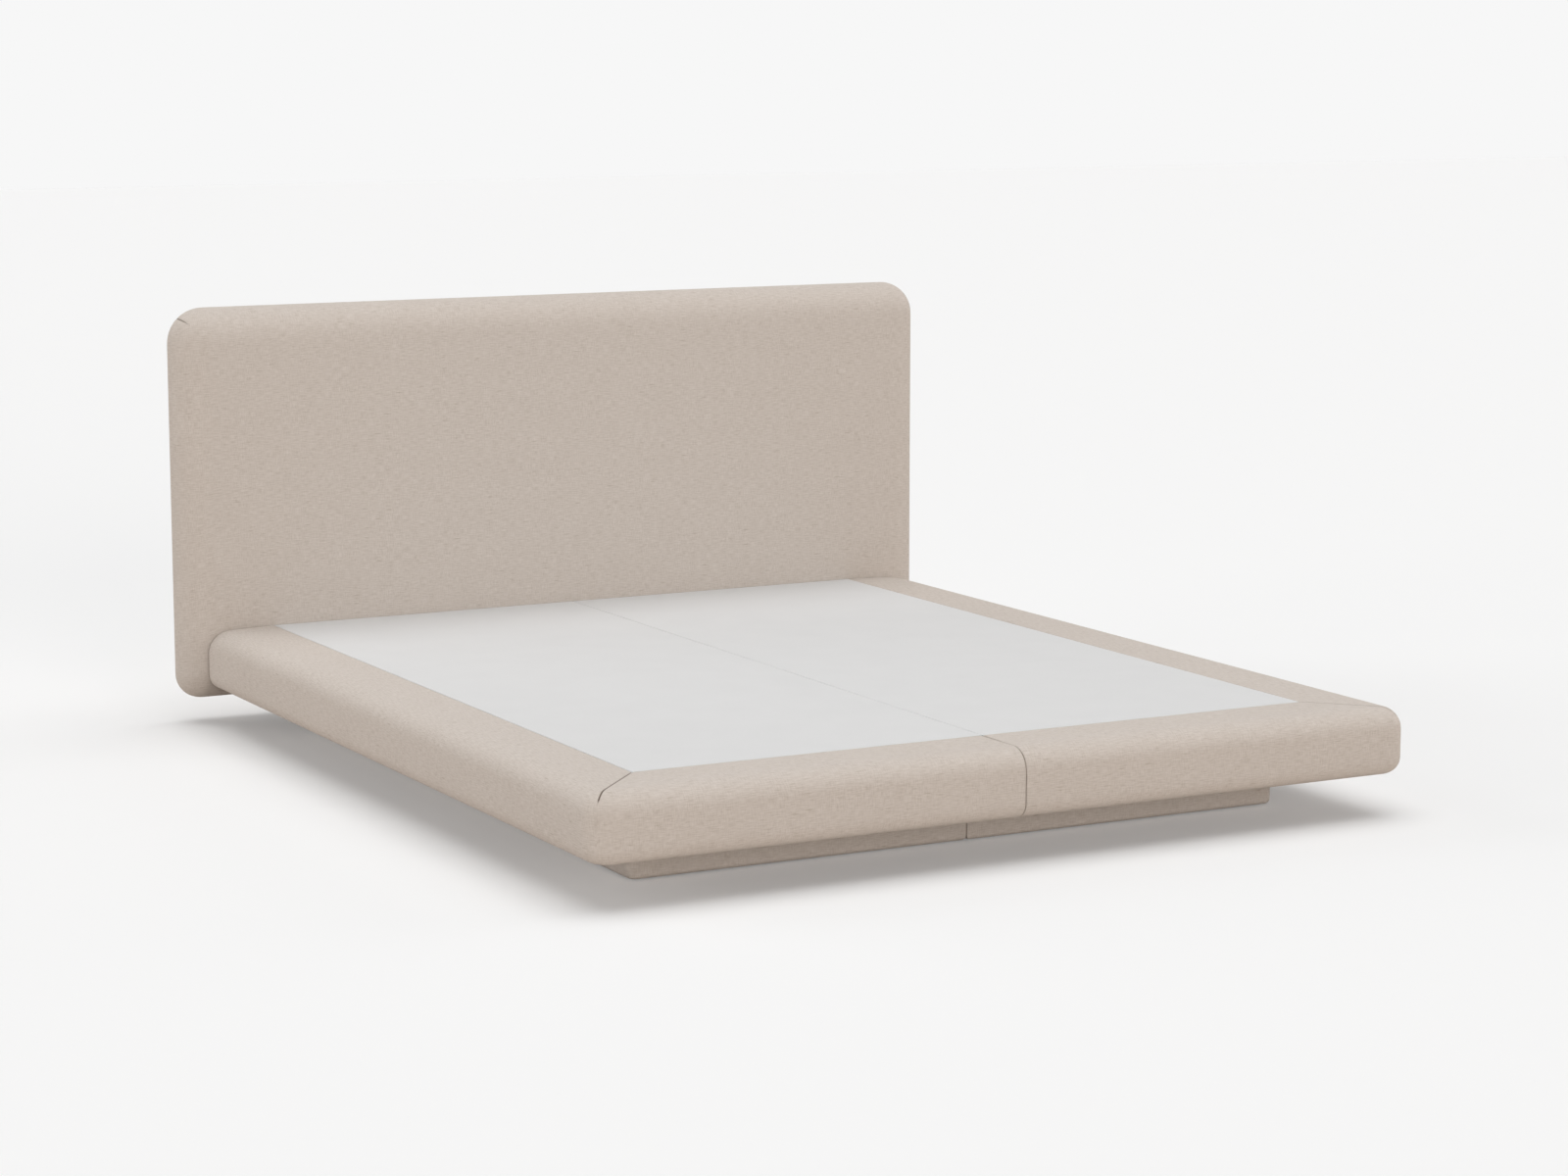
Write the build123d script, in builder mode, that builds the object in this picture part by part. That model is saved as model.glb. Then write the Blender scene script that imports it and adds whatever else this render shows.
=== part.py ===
from build123d import *
from math import cos, radians, sin
import os

# Upholstered platform bed for one mattress of 160 x 200 cm, in millimetres.
# X runs across the bed, +Y towards the headboard and +Z up. The origin lies on the floor, midway
# between the sides and midway between the foot face and the back of the headboard.

# Deck that the mattress lies on
deck_width = 1600
deck_length = 2010
deck_pad_thickness = 21
deck_seam_gap = 1
deck_pad_rounding = 2.5

# Padded base, in two halves that meet on the bed's centre line
base_thickness = 145
side_rim_width = 168
foot_rim_width = 174
rim_top_rounding = 47
rim_bottom_rounding = 36
rim_corner_radius = 56
rim_padding = 40
split_gap = 1
split_edge_chamfer = 3
split_lap = 60
headboard_gap = 0.5

# Upholstery
cover_thickness = 2
soft_gap = 0.3
foam_facets = 2
dart_width = 2.4
dart_depth = 1.4
dart_length_share = 0.84
underside_lap = 12

# Base frame
rail_thickness = 27
bearer_thickness = 45
board_thickness = 15

# Plinth under each half
glide_reveal = 3
plinth_height = 89
plinth_side_setback = 190
plinth_foot_setback = 233
plinth_head_setback = 190
plinth_padding = 12
plinth_corner_radius = 20
plinth_bottom_rounding = 11
plinth_block_length = 110

# Levelling glides
glide_pad_radius = 20
glide_pad_height = 9
glide_pad_chamfer = 2
glide_stem_radius = 4
glide_travel = 10
glide_stem_bite = 24
glide_end_distance = 28
thread_clearance = 0.05
glide_nut_radius = 7.5
glide_nut_length = 36

# Bolts
bolt_radius = 4
bolt_head_radius = 7
bolt_head_height = 5.3
bolt_clearance = 0.5
wood_clearance = 0.1
nut_height = 6.5
plinth_bolt_bite = 45
coupling_bolt_end = 4

# Headboard
headboard_overhang = 54
headboard_height = 950
headboard_thickness = 127
headboard_bottom_z = 60
headboard_corner_radius = 74
headboard_front_rounding = 72
headboard_back_rounding = 42
headboard_padding = 46
headboard_edge_padding = 46
headboard_back_lap = 60
headboard_rail_width = 70
headboard_front_board = 12
headboard_back_board = 5
middle_stile_share = 0.33

# Keyhole plates on the base and shoulder bolts on the headboard
keyhole_plate_width = 70
keyhole_plate_height = 70
keyhole_plate_thickness = 3
keyhole_drop = 20
keyhole_seat_z = 155
keyhole_x_share = 0.55
keyhole_pocket_depth = 10
shoulder_radius = 5
shoulder_head_radius = 9
shoulder_head_thickness = 4
shoulder_clearance = 0.3
shoulder_bite = 40
spacer_width = 44

overrun = 5

# Levels
base_bottom_z = glide_reveal + plinth_height
base_top_z = base_bottom_z + base_thickness
board_top_z = base_top_z - deck_pad_thickness
board_bottom_z = board_top_z - board_thickness
frame_bottom_z = base_bottom_z + cover_thickness
rail_height = board_bottom_z - frame_bottom_z
plinth_frame_z = glide_reveal + cover_thickness
plinth_rail_height = base_bottom_z - plinth_frame_z
plinth_block_height = frame_bottom_z - glide_pad_height
glide_stem_length = glide_travel + glide_stem_bite

# Places along the bed
bed_length = foot_rim_width + deck_length + headboard_thickness
foot_face_y = -bed_length / 2
deck_foot_y = foot_face_y + foot_rim_width
headboard_back_y = bed_length / 2
headboard_front_y = headboard_back_y - headboard_thickness
base_head_y = headboard_front_y - headboard_gap
frame_foot_y = foot_face_y + rim_padding
frame_head_y = base_head_y - cover_thickness
plinth_foot_y = foot_face_y + plinth_foot_setback
plinth_head_y = headboard_front_y - plinth_head_setback
plinth_frame_foot_y = plinth_foot_y + plinth_padding
plinth_frame_head_y = plinth_head_y - plinth_padding
foot_bearer_y = plinth_frame_foot_y + rail_thickness + bearer_thickness / 2
head_bearer_y = plinth_frame_head_y - rail_thickness - bearer_thickness / 2
middle_bearer_y = (foot_bearer_y + head_bearer_y) / 2

# Places across the right half
split_face_x = split_gap / 2
deck_edge_x = deck_width / 2
rim_outer_x = deck_edge_x + side_rim_width
frame_split_x = split_face_x + split_edge_chamfer
frame_outer_x = rim_outer_x - rim_padding
frame_corner_radius = rim_corner_radius - rim_padding
plinth_outer_x = rim_outer_x - plinth_side_setback
plinth_split_x = split_face_x + cover_thickness
plinth_frame_outer_x = plinth_outer_x - plinth_padding
block_inner_x = plinth_split_x + rail_thickness
block_outer_x = plinth_frame_outer_x - rail_thickness
glide_xs = (block_inner_x + glide_end_distance, block_outer_x - glide_end_distance)
plinth_bolt_x = block_outer_x - plinth_block_length + glide_end_distance
glide_ys = (foot_bearer_y, head_bearer_y)
headboard_width = 2 * (rim_outer_x + headboard_overhang)
keyhole_x = frame_outer_x * keyhole_x_share

os.makedirs("parts", exist_ok=True)


def write(piece, name):
    """Label one finished piece and write its file."""
    piece.label = name
    export_step(piece, f"parts/{name}.step")


def write_pair(piece, name):
    """Write a piece of the right half, and its mirror image for the left half."""
    write(piece, f"{name}_right")
    write(mirror(piece, about=Plane.YZ), f"{name}_left")


def rectangle_between(low_u, high_u, low_v, high_v):
    """Draw a rectangle between its limits in the sketch that is open."""
    with Locations(((low_u + high_u) / 2, (low_v + high_v) / 2)):
        Rectangle(high_u - low_u, high_v - low_v)


def quarter_angles():
    """The angles of the corners of a quarter round that is cut in flat facets."""
    return [radians(90 * step / foam_facets) for step in range(foam_facets + 1)]


def facet_corners(radius):
    """How far each corner of a faceted rounding lies in from the side, and in from the end face."""
    return [(radius * (1 - sin(angle)), radius * (1 - cos(angle))) for angle in quarter_angles()]


def outer_foot_corner(plan):
    """The corner of a right half's plan that lies furthest out at the foot."""
    return plan.vertices().sort_by(Axis.X)[-2:].sort_by(Axis.Y)[0]


def half_form(inset):
    """The outer form of the right base half, drawn in by an inset on every face."""
    with BuildPart() as form:
        with BuildSketch(Plane.XY.offset(base_bottom_z + inset)) as plan:
            rectangle_between(
                split_face_x + inset, rim_outer_x - inset, foot_face_y + inset, base_head_y - inset
            )
            fillet(outer_foot_corner(plan), radius=rim_corner_radius - inset)
        extrude(amount=base_thickness - 2 * inset)
        top_edges = form.faces().sort_by(Axis.Z)[-1].edges()
        fillet(top_edges.sort_by(Axis.X)[1:].sort_by(Axis.Y)[:-1], radius=rim_top_rounding - inset)
        bottom_edges = form.faces().sort_by(Axis.Z)[0].edges()
        fillet(bottom_edges.sort_by(Axis.X)[1:].sort_by(Axis.Y)[:-1], radius=rim_bottom_rounding - inset)
        split_edges = form.faces().sort_by(Axis.X)[0].edges()
        chamfer(split_edges.sort_by(Axis.Z)[1:].sort_by(Axis.Y)[:-1], length=split_edge_chamfer - inset)
    return form.part


def half_core(inset):
    """The same form with its roundings cut in flat facets, as a foam cutter leaves them."""
    low_corners = facet_corners(rim_bottom_rounding - inset)
    high_corners = facet_corners(rim_top_rounding - inset)
    sections = [(base_bottom_z + inset + rise, depth) for depth, rise in low_corners]
    sections += [(base_top_z - inset - rise, depth) for depth, rise in reversed(high_corners)]
    with BuildPart() as core:
        for z, depth in sections:
            radius = rim_corner_radius - inset - depth
            corner_points = [
                (
                    rim_outer_x - rim_corner_radius + radius * sin(angle),
                    foot_face_y + rim_corner_radius - radius * cos(angle),
                )
                for angle in quarter_angles()
            ]
            with BuildSketch(Plane.XY.offset(z)):
                with BuildLine():
                    Polyline(
                        (split_face_x + inset, foot_face_y + inset + depth),
                        *corner_points,
                        (rim_outer_x - inset - depth, base_head_y - inset),
                        (split_face_x + inset, base_head_y - inset),
                        close=True,
                    )
                make_face()
        loft(ruled=True)
    return core.part


def headboard_form():
    """The outer form of the headboard."""
    with BuildPart() as form:
        with BuildSketch(Plane.XZ.offset(-headboard_front_y)):
            with Locations((0, headboard_bottom_z + headboard_height / 2)):
                RectangleRounded(headboard_width, headboard_height, headboard_corner_radius)
        extrude(amount=-headboard_thickness)
        fillet(form.faces().sort_by(Axis.Y)[0].edges(), radius=headboard_front_rounding)
        fillet(form.faces().sort_by(Axis.Y)[-1].edges(), radius=headboard_back_rounding)
    return form.part


def headboard_core(inset):
    """The same form with its roundings cut in flat facets."""
    front_corners = facet_corners(headboard_front_rounding - inset)
    back_corners = facet_corners(headboard_back_rounding - inset)
    sections = [(headboard_front_y + inset + rise, depth) for depth, rise in front_corners]
    sections += [(headboard_back_y - inset - rise, depth) for depth, rise in reversed(back_corners)]
    corner_x = headboard_width / 2 - headboard_corner_radius
    corner_z = headboard_height / 2 - headboard_corner_radius
    with BuildPart() as core:
        for y, depth in sections:
            radius = headboard_corner_radius - inset - depth
            quarter = [
                (corner_x + radius * sin(angle), corner_z + radius * cos(angle))
                for angle in quarter_angles()
            ]
            right_side = quarter + [(x, -z) for x, z in reversed(quarter)]
            left_side = [(-x, z) for x, z in reversed(right_side)]
            with BuildSketch(Plane.XZ.offset(-y)):
                with Locations((0, headboard_bottom_z + headboard_height / 2)):
                    Polygon(*right_side, *left_side, align=None)
        loft(ruled=True)
    return core.part


# Base halves: fabric cover over the rim, wrapped under the base and in at the split
outer_form = half_form(0)
underside_edge_x = plinth_outer_x - underside_lap
underside_foot_y = plinth_foot_y + underside_lap
underside_head_y = plinth_head_y - underside_lap
corner_run = ((rim_outer_x - deck_edge_x) ** 2 + (deck_foot_y - foot_face_y) ** 2) ** 0.5
dart_plane = Plane(
    origin=(deck_edge_x, deck_foot_y, board_top_z),
    x_dir=(rim_outer_x - deck_edge_x, foot_face_y - deck_foot_y, 0),
    z_dir=(0, 0, 1),
)
with BuildPart() as corner_dart:
    with BuildSketch(dart_plane):
        rectangle_between(-dart_width, corner_run * dart_length_share, -dart_width / 2, dart_width / 2)
    extrude(amount=deck_pad_thickness)
    add(outer_form, mode=Mode.INTERSECT)
    add(half_form(dart_depth), mode=Mode.SUBTRACT)

coupling_ys = ((foot_bearer_y + middle_bearer_y) / 2, (middle_bearer_y + head_bearer_y) / 2)
coupling_z = frame_bottom_z + rail_height / 2
keyhole_mid_z = keyhole_seat_z + keyhole_drop / 2

with BuildPart() as rim_cover:
    add(outer_form)
    add(half_core(cover_thickness), mode=Mode.SUBTRACT)
    with BuildSketch(Plane.XY.offset(board_top_z)):
        rectangle_between(split_face_x - overrun, deck_edge_x, deck_foot_y, base_head_y + overrun)
    extrude(amount=deck_pad_thickness + overrun, mode=Mode.SUBTRACT)
    with BuildSketch(Plane.XY.offset(base_bottom_z - overrun)):
        rectangle_between(split_face_x - overrun, underside_edge_x, underside_foot_y, underside_head_y)
    extrude(amount=overrun + cover_thickness, mode=Mode.SUBTRACT)
    with BuildSketch(Plane.YZ.offset(split_face_x - overrun)):
        rectangle_between(foot_face_y + split_lap, base_head_y + overrun, frame_bottom_z, board_top_z)
    extrude(amount=overrun + split_edge_chamfer, mode=Mode.SUBTRACT)
    with BuildSketch(Plane.XZ.offset(-frame_head_y)):
        with Locations((keyhole_x, keyhole_mid_z)):
            Rectangle(keyhole_plate_width, keyhole_plate_height)
    extrude(amount=-cover_thickness - overrun, mode=Mode.SUBTRACT)
    add(corner_dart.part, mode=Mode.SUBTRACT)
write_pair(rim_cover.part, "rim_cover")

# Base halves: foam of the rim, in one bar along the side and one along the foot
with BuildPart() as foam_ring:
    add(half_core(cover_thickness + soft_gap))
    with BuildSketch(Plane.XY.offset(base_bottom_z)) as frame_plan:
        rectangle_between(split_face_x, frame_outer_x, frame_foot_y, base_head_y)
        fillet(outer_foot_corner(frame_plan), radius=frame_corner_radius)
    extrude(amount=board_top_z - base_bottom_z, mode=Mode.SUBTRACT)
with BuildPart() as side_foam:
    add(foam_ring.part)
    with BuildSketch(Plane.XY.offset(base_bottom_z)):
        rectangle_between(deck_edge_x, rim_outer_x, deck_foot_y, base_head_y)
    extrude(amount=base_thickness, mode=Mode.INTERSECT)
write_pair(side_foam.part, "side_foam")
with BuildPart() as foot_foam:
    add(foam_ring.part)
    with BuildSketch(Plane.XY.offset(base_bottom_z)):
        rectangle_between(split_face_x, rim_outer_x, foot_face_y, deck_foot_y)
    extrude(amount=base_thickness, mode=Mode.INTERSECT)
write_pair(foot_foam.part, "foot_foam")

# Base halves: grey pad that the mattress lies on, flush with the rim
with BuildPart() as deck_pad:
    with BuildSketch(Plane.XY.offset(board_top_z)):
        rectangle_between(
            split_face_x, deck_edge_x - deck_seam_gap, deck_foot_y + deck_seam_gap, base_head_y
        )
    extrude(amount=deck_pad_thickness)
    split_top_edge = deck_pad.faces().sort_by(Axis.Z)[-1].edges().sort_by(Axis.X)[0]
    fillet(split_top_edge, radius=deck_pad_rounding)
write_pair(deck_pad.part, "deck_pad")

# Base halves: plywood board under the pad and the rim's foam
with BuildPart() as top_board:
    with BuildSketch(Plane.XY.offset(board_bottom_z)) as board_plan:
        rectangle_between(frame_split_x, frame_outer_x, frame_foot_y, frame_head_y)
        fillet(outer_foot_corner(board_plan), radius=frame_corner_radius)
    extrude(amount=board_thickness)
write_pair(top_board.part, "top_board")

# Base halves: rails of the frame, on edge
with BuildPart() as foot_rail:
    with BuildSketch(Plane.XY.offset(frame_bottom_z)) as rail_plan:
        rectangle_between(frame_split_x, frame_outer_x, frame_foot_y, frame_foot_y + rail_thickness)
        fillet(outer_foot_corner(rail_plan), radius=frame_corner_radius)
    extrude(amount=rail_height)
write_pair(foot_rail.part, "foot_rail")

with BuildPart() as head_rail:
    with BuildSketch(Plane.XY.offset(frame_bottom_z)):
        rectangle_between(frame_split_x, frame_outer_x, frame_head_y - rail_thickness, frame_head_y)
    extrude(amount=rail_height)
    with BuildSketch(Plane.XZ.offset(-frame_head_y)):
        with Locations((keyhole_x, keyhole_mid_z)):
            Rectangle(keyhole_plate_width, keyhole_plate_height)
    extrude(amount=keyhole_plate_thickness - cover_thickness, mode=Mode.SUBTRACT)
    with BuildSketch(Plane.XZ.offset(-frame_head_y)):
        with Locations((keyhole_x, keyhole_mid_z)):
            SlotCenterToCenter(
                keyhole_drop, 2 * (shoulder_head_radius + bolt_clearance), rotation=90
            )
    extrude(amount=keyhole_pocket_depth, mode=Mode.SUBTRACT)
write_pair(head_rail.part, "head_rail")

rails_foot_y = frame_foot_y + rail_thickness
rails_head_y = frame_head_y - rail_thickness
with BuildPart() as side_rail:
    with BuildSketch(Plane.XY.offset(frame_bottom_z)):
        rectangle_between(frame_outer_x - rail_thickness, frame_outer_x, rails_foot_y, rails_head_y)
    extrude(amount=rail_height)
write_pair(side_rail.part, "side_rail")

with BuildPart() as centre_rail:
    with BuildSketch(Plane.XY.offset(frame_bottom_z)):
        rectangle_between(frame_split_x, frame_split_x + rail_thickness, rails_foot_y, rails_head_y)
    extrude(amount=rail_height)
    with BuildSketch(Plane.YZ.offset(frame_split_x)):
        with Locations(*[(y, coupling_z) for y in coupling_ys]):
            Circle(bolt_radius + bolt_clearance)
    extrude(amount=rail_thickness, mode=Mode.SUBTRACT)
write_pair(centre_rail.part, "centre_rail")

# Base halves: three bearers across each half, over the plinth's own cross rails
bearer_low_x = frame_split_x + rail_thickness
bearer_high_x = frame_outer_x - rail_thickness
with BuildPart() as bearers:
    with BuildSketch(Plane.XY.offset(frame_bottom_z)):
        for y in (foot_bearer_y, middle_bearer_y, head_bearer_y):
            rectangle_between(
                bearer_low_x, bearer_high_x, y - bearer_thickness / 2, y + bearer_thickness / 2
            )
    extrude(amount=rail_height)
    with BuildSketch(Plane.XY.offset(frame_bottom_z)):
        with Locations(*[(plinth_bolt_x, y) for y in glide_ys]):
            Circle(bolt_radius + wood_clearance)
    extrude(amount=plinth_bolt_bite, mode=Mode.SUBTRACT)
write_pair(bearers.part, "bearers")

# Base halves: cloth that closes the underside between the outer bearers
with BuildPart() as underside_cloth:
    with BuildSketch(Plane.XY.offset(base_bottom_z)):
        rectangle_between(
            frame_split_x,
            underside_edge_x,
            foot_bearer_y + bearer_thickness / 2,
            head_bearer_y - bearer_thickness / 2,
        )
    extrude(amount=cover_thickness)
write_pair(underside_cloth.part, "underside_cloth")

# Plinth halves: padded cover wrapped round the rails and turned in under them
with BuildPart() as plinth_cover:
    with BuildSketch(Plane.XY.offset(glide_reveal)) as plinth_plan:
        rectangle_between(split_face_x, plinth_outer_x, plinth_foot_y, plinth_head_y)
        fillet(plinth_plan.vertices().sort_by(Axis.X)[-2:], radius=plinth_corner_radius)
    extrude(amount=plinth_height)
    plinth_bottom_edges = plinth_cover.faces().sort_by(Axis.Z)[0].edges()
    fillet(plinth_bottom_edges.sort_by(Axis.X)[1:], radius=plinth_bottom_rounding)
    with BuildSketch(Plane.XY.offset(plinth_frame_z)):
        rectangle_between(
            plinth_split_x, plinth_frame_outer_x, plinth_frame_foot_y, plinth_frame_head_y
        )
    extrude(amount=plinth_height, mode=Mode.SUBTRACT)
    with BuildSketch(Plane.XY):
        rectangle_between(
            block_inner_x,
            block_outer_x,
            plinth_frame_foot_y + rail_thickness,
            plinth_frame_head_y - rail_thickness,
        )
    extrude(amount=plinth_height, mode=Mode.SUBTRACT)
write_pair(plinth_cover.part, "plinth_cover")

# Plinth halves: rails
with BuildPart() as plinth_side_rail:
    with BuildSketch(Plane.XY.offset(plinth_frame_z)):
        rectangle_between(
            block_outer_x, plinth_frame_outer_x, plinth_frame_foot_y, plinth_frame_head_y
        )
    extrude(amount=plinth_rail_height)
write_pair(plinth_side_rail.part, "plinth_side_rail")

with BuildPart() as plinth_centre_rail:
    with BuildSketch(Plane.XY.offset(plinth_frame_z)):
        rectangle_between(plinth_split_x, block_inner_x, plinth_frame_foot_y, plinth_frame_head_y)
    extrude(amount=plinth_rail_height)
write_pair(plinth_centre_rail.part, "plinth_centre_rail")

with BuildPart() as plinth_cross_rails:
    with BuildSketch(Plane.XY.offset(plinth_frame_z)):
        for y in (
            plinth_frame_foot_y + rail_thickness / 2,
            middle_bearer_y,
            plinth_frame_head_y - rail_thickness / 2,
        ):
            rectangle_between(block_inner_x, block_outer_x, y - rail_thickness / 2, y + rail_thickness / 2)
    extrude(amount=plinth_rail_height)
write_pair(plinth_cross_rails.part, "plinth_cross_rails")

# Plinth halves: corner blocks that hold the glides, and the outer two the bolts to the base
glide_places = [(x, y) for x in glide_xs for y in glide_ys]
plinth_bolt_places = [(plinth_bolt_x, y) for y in glide_ys]
with BuildPart() as plinth_blocks:
    with BuildSketch(Plane.XY.offset(glide_pad_height)):
        for y in glide_ys:
            for low_x in (block_inner_x, block_outer_x - plinth_block_length):
                rectangle_between(
                    low_x, low_x + plinth_block_length, y - bearer_thickness / 2, y + bearer_thickness / 2
                )
    extrude(amount=plinth_block_height)
    with BuildSketch(Plane.XY.offset(glide_pad_height)):
        with Locations(*glide_places):
            RegularPolygon(glide_nut_radius + wood_clearance, 6)
    extrude(amount=glide_nut_length, mode=Mode.SUBTRACT)
    with BuildSketch(Plane.XY.offset(glide_pad_height)):
        with Locations(*plinth_bolt_places):
            Circle(bolt_radius + bolt_clearance)
    extrude(amount=plinth_block_height, mode=Mode.SUBTRACT)
write_pair(plinth_blocks.part, "plinth_blocks")

# Long nuts pressed into the corner blocks, plain where the real ones have their thread
with BuildPart() as glide_nuts:
    with BuildSketch(Plane.XY.offset(glide_pad_height)):
        with Locations(*[(sign * x, y) for sign in (-1, 1) for x, y in glide_places]):
            RegularPolygon(glide_nut_radius, 6)
            Circle(glide_stem_radius + thread_clearance, mode=Mode.SUBTRACT)
    extrude(amount=glide_nut_length)
write(glide_nuts.part, "glide_nuts")

# Levelling glides: a pad with six flats for a spanner, on a stem that is screwed fully in
for side, sign in (("left", -1), ("right", 1)):
    for end, y in zip(("foot", "head"), glide_ys):
        for place, x in zip(("inner", "outer"), glide_xs):
            with BuildPart() as glide:
                with BuildSketch(Plane.XY):
                    with Locations((sign * x, y)):
                        RegularPolygon(glide_pad_radius, 6)
                extrude(amount=glide_pad_height)
                chamfer(glide.faces().sort_by(Axis.Z)[0].edges(), length=glide_pad_chamfer)
                with BuildSketch(Plane.XY.offset(glide_pad_height)):
                    with Locations((sign * x, y)):
                        Circle(glide_stem_radius)
                extrude(amount=glide_stem_length)
            write(glide.part, f"glide_{end}_{place}_{side}")

# Bolts driven up through the blocks into the bearers
with BuildPart() as plinth_bolts:
    both_bolt_places = [(sign * x, y) for sign in (-1, 1) for x, y in plinth_bolt_places]
    with BuildSketch(Plane.XY.offset(glide_pad_height)):
        with Locations(*both_bolt_places):
            RegularPolygon(bolt_head_radius, 6)
    extrude(amount=-bolt_head_height)
    with BuildSketch(Plane.XY.offset(glide_pad_height)):
        with Locations(*both_bolt_places):
            Circle(bolt_radius)
    extrude(amount=plinth_block_height + plinth_bolt_bite - wood_clearance)
write(plinth_bolts.part, "plinth_bolts")

# Bolts and nuts that couple the two base halves through their centre rails
coupling_half = frame_split_x + rail_thickness
coupling_places = [(y, coupling_z) for y in coupling_ys]
with BuildPart() as coupling_bolts:
    with BuildSketch(Plane.YZ.offset(-coupling_half)):
        with Locations(*coupling_places):
            RegularPolygon(bolt_head_radius, 6)
    extrude(amount=-bolt_head_height)
    with BuildSketch(Plane.YZ.offset(-coupling_half)):
        with Locations(*coupling_places):
            Circle(bolt_radius)
    extrude(amount=2 * coupling_half + nut_height + coupling_bolt_end)
write(coupling_bolts.part, "coupling_bolts")

with BuildPart() as coupling_nuts:
    with BuildSketch(Plane.YZ.offset(coupling_half)):
        with Locations(*coupling_places):
            RegularPolygon(bolt_head_radius, 6)
            Circle(bolt_radius + thread_clearance, mode=Mode.SUBTRACT)
    extrude(amount=nut_height)
write(coupling_nuts.part, "coupling_nuts")

# Headboard: fabric cover, drawn over the edges and round to the back
back_low_x = headboard_width / 2 - headboard_back_lap
back_low_z = headboard_bottom_z + headboard_back_lap
back_high_z = headboard_bottom_z + headboard_height - headboard_back_lap
shoulder_places = [(-keyhole_x, keyhole_seat_z), (keyhole_x, keyhole_seat_z)]
with BuildPart() as headboard_cover:
    add(headboard_form())
    add(headboard_core(cover_thickness), mode=Mode.SUBTRACT)
    with BuildSketch(Plane.XZ.offset(-headboard_back_y + cover_thickness)):
        rectangle_between(-back_low_x, back_low_x, back_low_z, back_high_z)
    extrude(amount=-cover_thickness - overrun, mode=Mode.SUBTRACT)
    with BuildSketch(Plane.XZ.offset(-headboard_front_y + overrun)):
        with Locations(*shoulder_places):
            Rectangle(spacer_width + 2 * soft_gap, spacer_width + 2 * soft_gap)
    extrude(amount=-cover_thickness - 2 * overrun, mode=Mode.SUBTRACT)
write(headboard_cover.part, "headboard_cover")

with BuildPart() as headboard_back_cover:
    with BuildSketch(Plane.XZ.offset(-headboard_back_y + cover_thickness)):
        rectangle_between(-back_low_x, back_low_x, back_low_z, back_high_z)
    extrude(amount=-cover_thickness)
write(headboard_back_cover.part, "headboard_back_cover")

# Headboard: foam over the front and all four edges, with holes for the spacers
headboard_frame_x = headboard_width / 2 - headboard_edge_padding
headboard_frame_low_z = headboard_bottom_z + headboard_edge_padding
headboard_frame_high_z = headboard_bottom_z + headboard_height - headboard_edge_padding
front_board_y = headboard_front_y + headboard_padding
frame_front_y = front_board_y + headboard_front_board
back_board_y = headboard_back_y - cover_thickness - headboard_back_board
frame_depth = back_board_y - frame_front_y
with BuildPart() as headboard_foam:
    add(headboard_core(cover_thickness + soft_gap))
    with BuildSketch(Plane.XZ.offset(-front_board_y)):
        rectangle_between(
            -headboard_frame_x, headboard_frame_x, headboard_frame_low_z, headboard_frame_high_z
        )
    extrude(amount=-headboard_thickness, mode=Mode.SUBTRACT)
    with BuildSketch(Plane.XZ.offset(-headboard_front_y)):
        with Locations(*shoulder_places):
            Rectangle(spacer_width + 2 * soft_gap, spacer_width + 2 * soft_gap)
    extrude(amount=-headboard_thickness, mode=Mode.SUBTRACT)
write(headboard_foam.part, "headboard_foam")

# Headboard: boards and rails of the frame
with BuildPart() as headboard_front_board_piece:
    with BuildSketch(Plane.XZ.offset(-front_board_y)):
        rectangle_between(
            -headboard_frame_x, headboard_frame_x, headboard_frame_low_z, headboard_frame_high_z
        )
        with Locations(*shoulder_places):
            Circle(shoulder_radius + wood_clearance, mode=Mode.SUBTRACT)
    extrude(amount=-headboard_front_board)
write(headboard_front_board_piece.part, "headboard_front_board")

with BuildPart() as headboard_back_board_piece:
    with BuildSketch(Plane.XZ.offset(-back_board_y)):
        with Locations((0, headboard_bottom_z + headboard_height / 2)):
            RectangleRounded(
                2 * headboard_frame_x,
                headboard_frame_high_z - headboard_frame_low_z,
                headboard_corner_radius - headboard_edge_padding,
            )
    extrude(amount=-headboard_back_board)
write(headboard_back_board_piece.part, "headboard_back_board")

with BuildPart() as headboard_bottom_rail:
    with BuildSketch(Plane.XZ.offset(-frame_front_y)):
        rectangle_between(
            -headboard_frame_x,
            headboard_frame_x,
            headboard_frame_low_z,
            headboard_frame_low_z + headboard_rail_width,
        )
    extrude(amount=-frame_depth)
    with BuildSketch(Plane.XZ.offset(-frame_front_y)):
        with Locations(*shoulder_places):
            Circle(shoulder_radius + wood_clearance)
    extrude(amount=-shoulder_bite - wood_clearance, mode=Mode.SUBTRACT)
write(headboard_bottom_rail.part, "headboard_bottom_rail")

with BuildPart() as headboard_top_rail:
    with BuildSketch(Plane.XZ.offset(-frame_front_y)):
        rectangle_between(
            -headboard_frame_x,
            headboard_frame_x,
            headboard_frame_high_z - headboard_rail_width,
            headboard_frame_high_z,
        )
    extrude(amount=-frame_depth)
write(headboard_top_rail.part, "headboard_top_rail")

middle_stile_x = headboard_frame_x * middle_stile_share
stiles = {
    "headboard_outer_stile": headboard_frame_x - headboard_rail_width / 2,
    "headboard_middle_stile": middle_stile_x,
}
for name, mid_x in stiles.items():
    with BuildPart() as stile:
        with BuildSketch(Plane.XZ.offset(-frame_front_y)):
            rectangle_between(
                mid_x - headboard_rail_width / 2,
                mid_x + headboard_rail_width / 2,
                headboard_frame_low_z + headboard_rail_width,
                headboard_frame_high_z - headboard_rail_width,
            )
        extrude(amount=-frame_depth)
    write_pair(stile.part, name)

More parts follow.
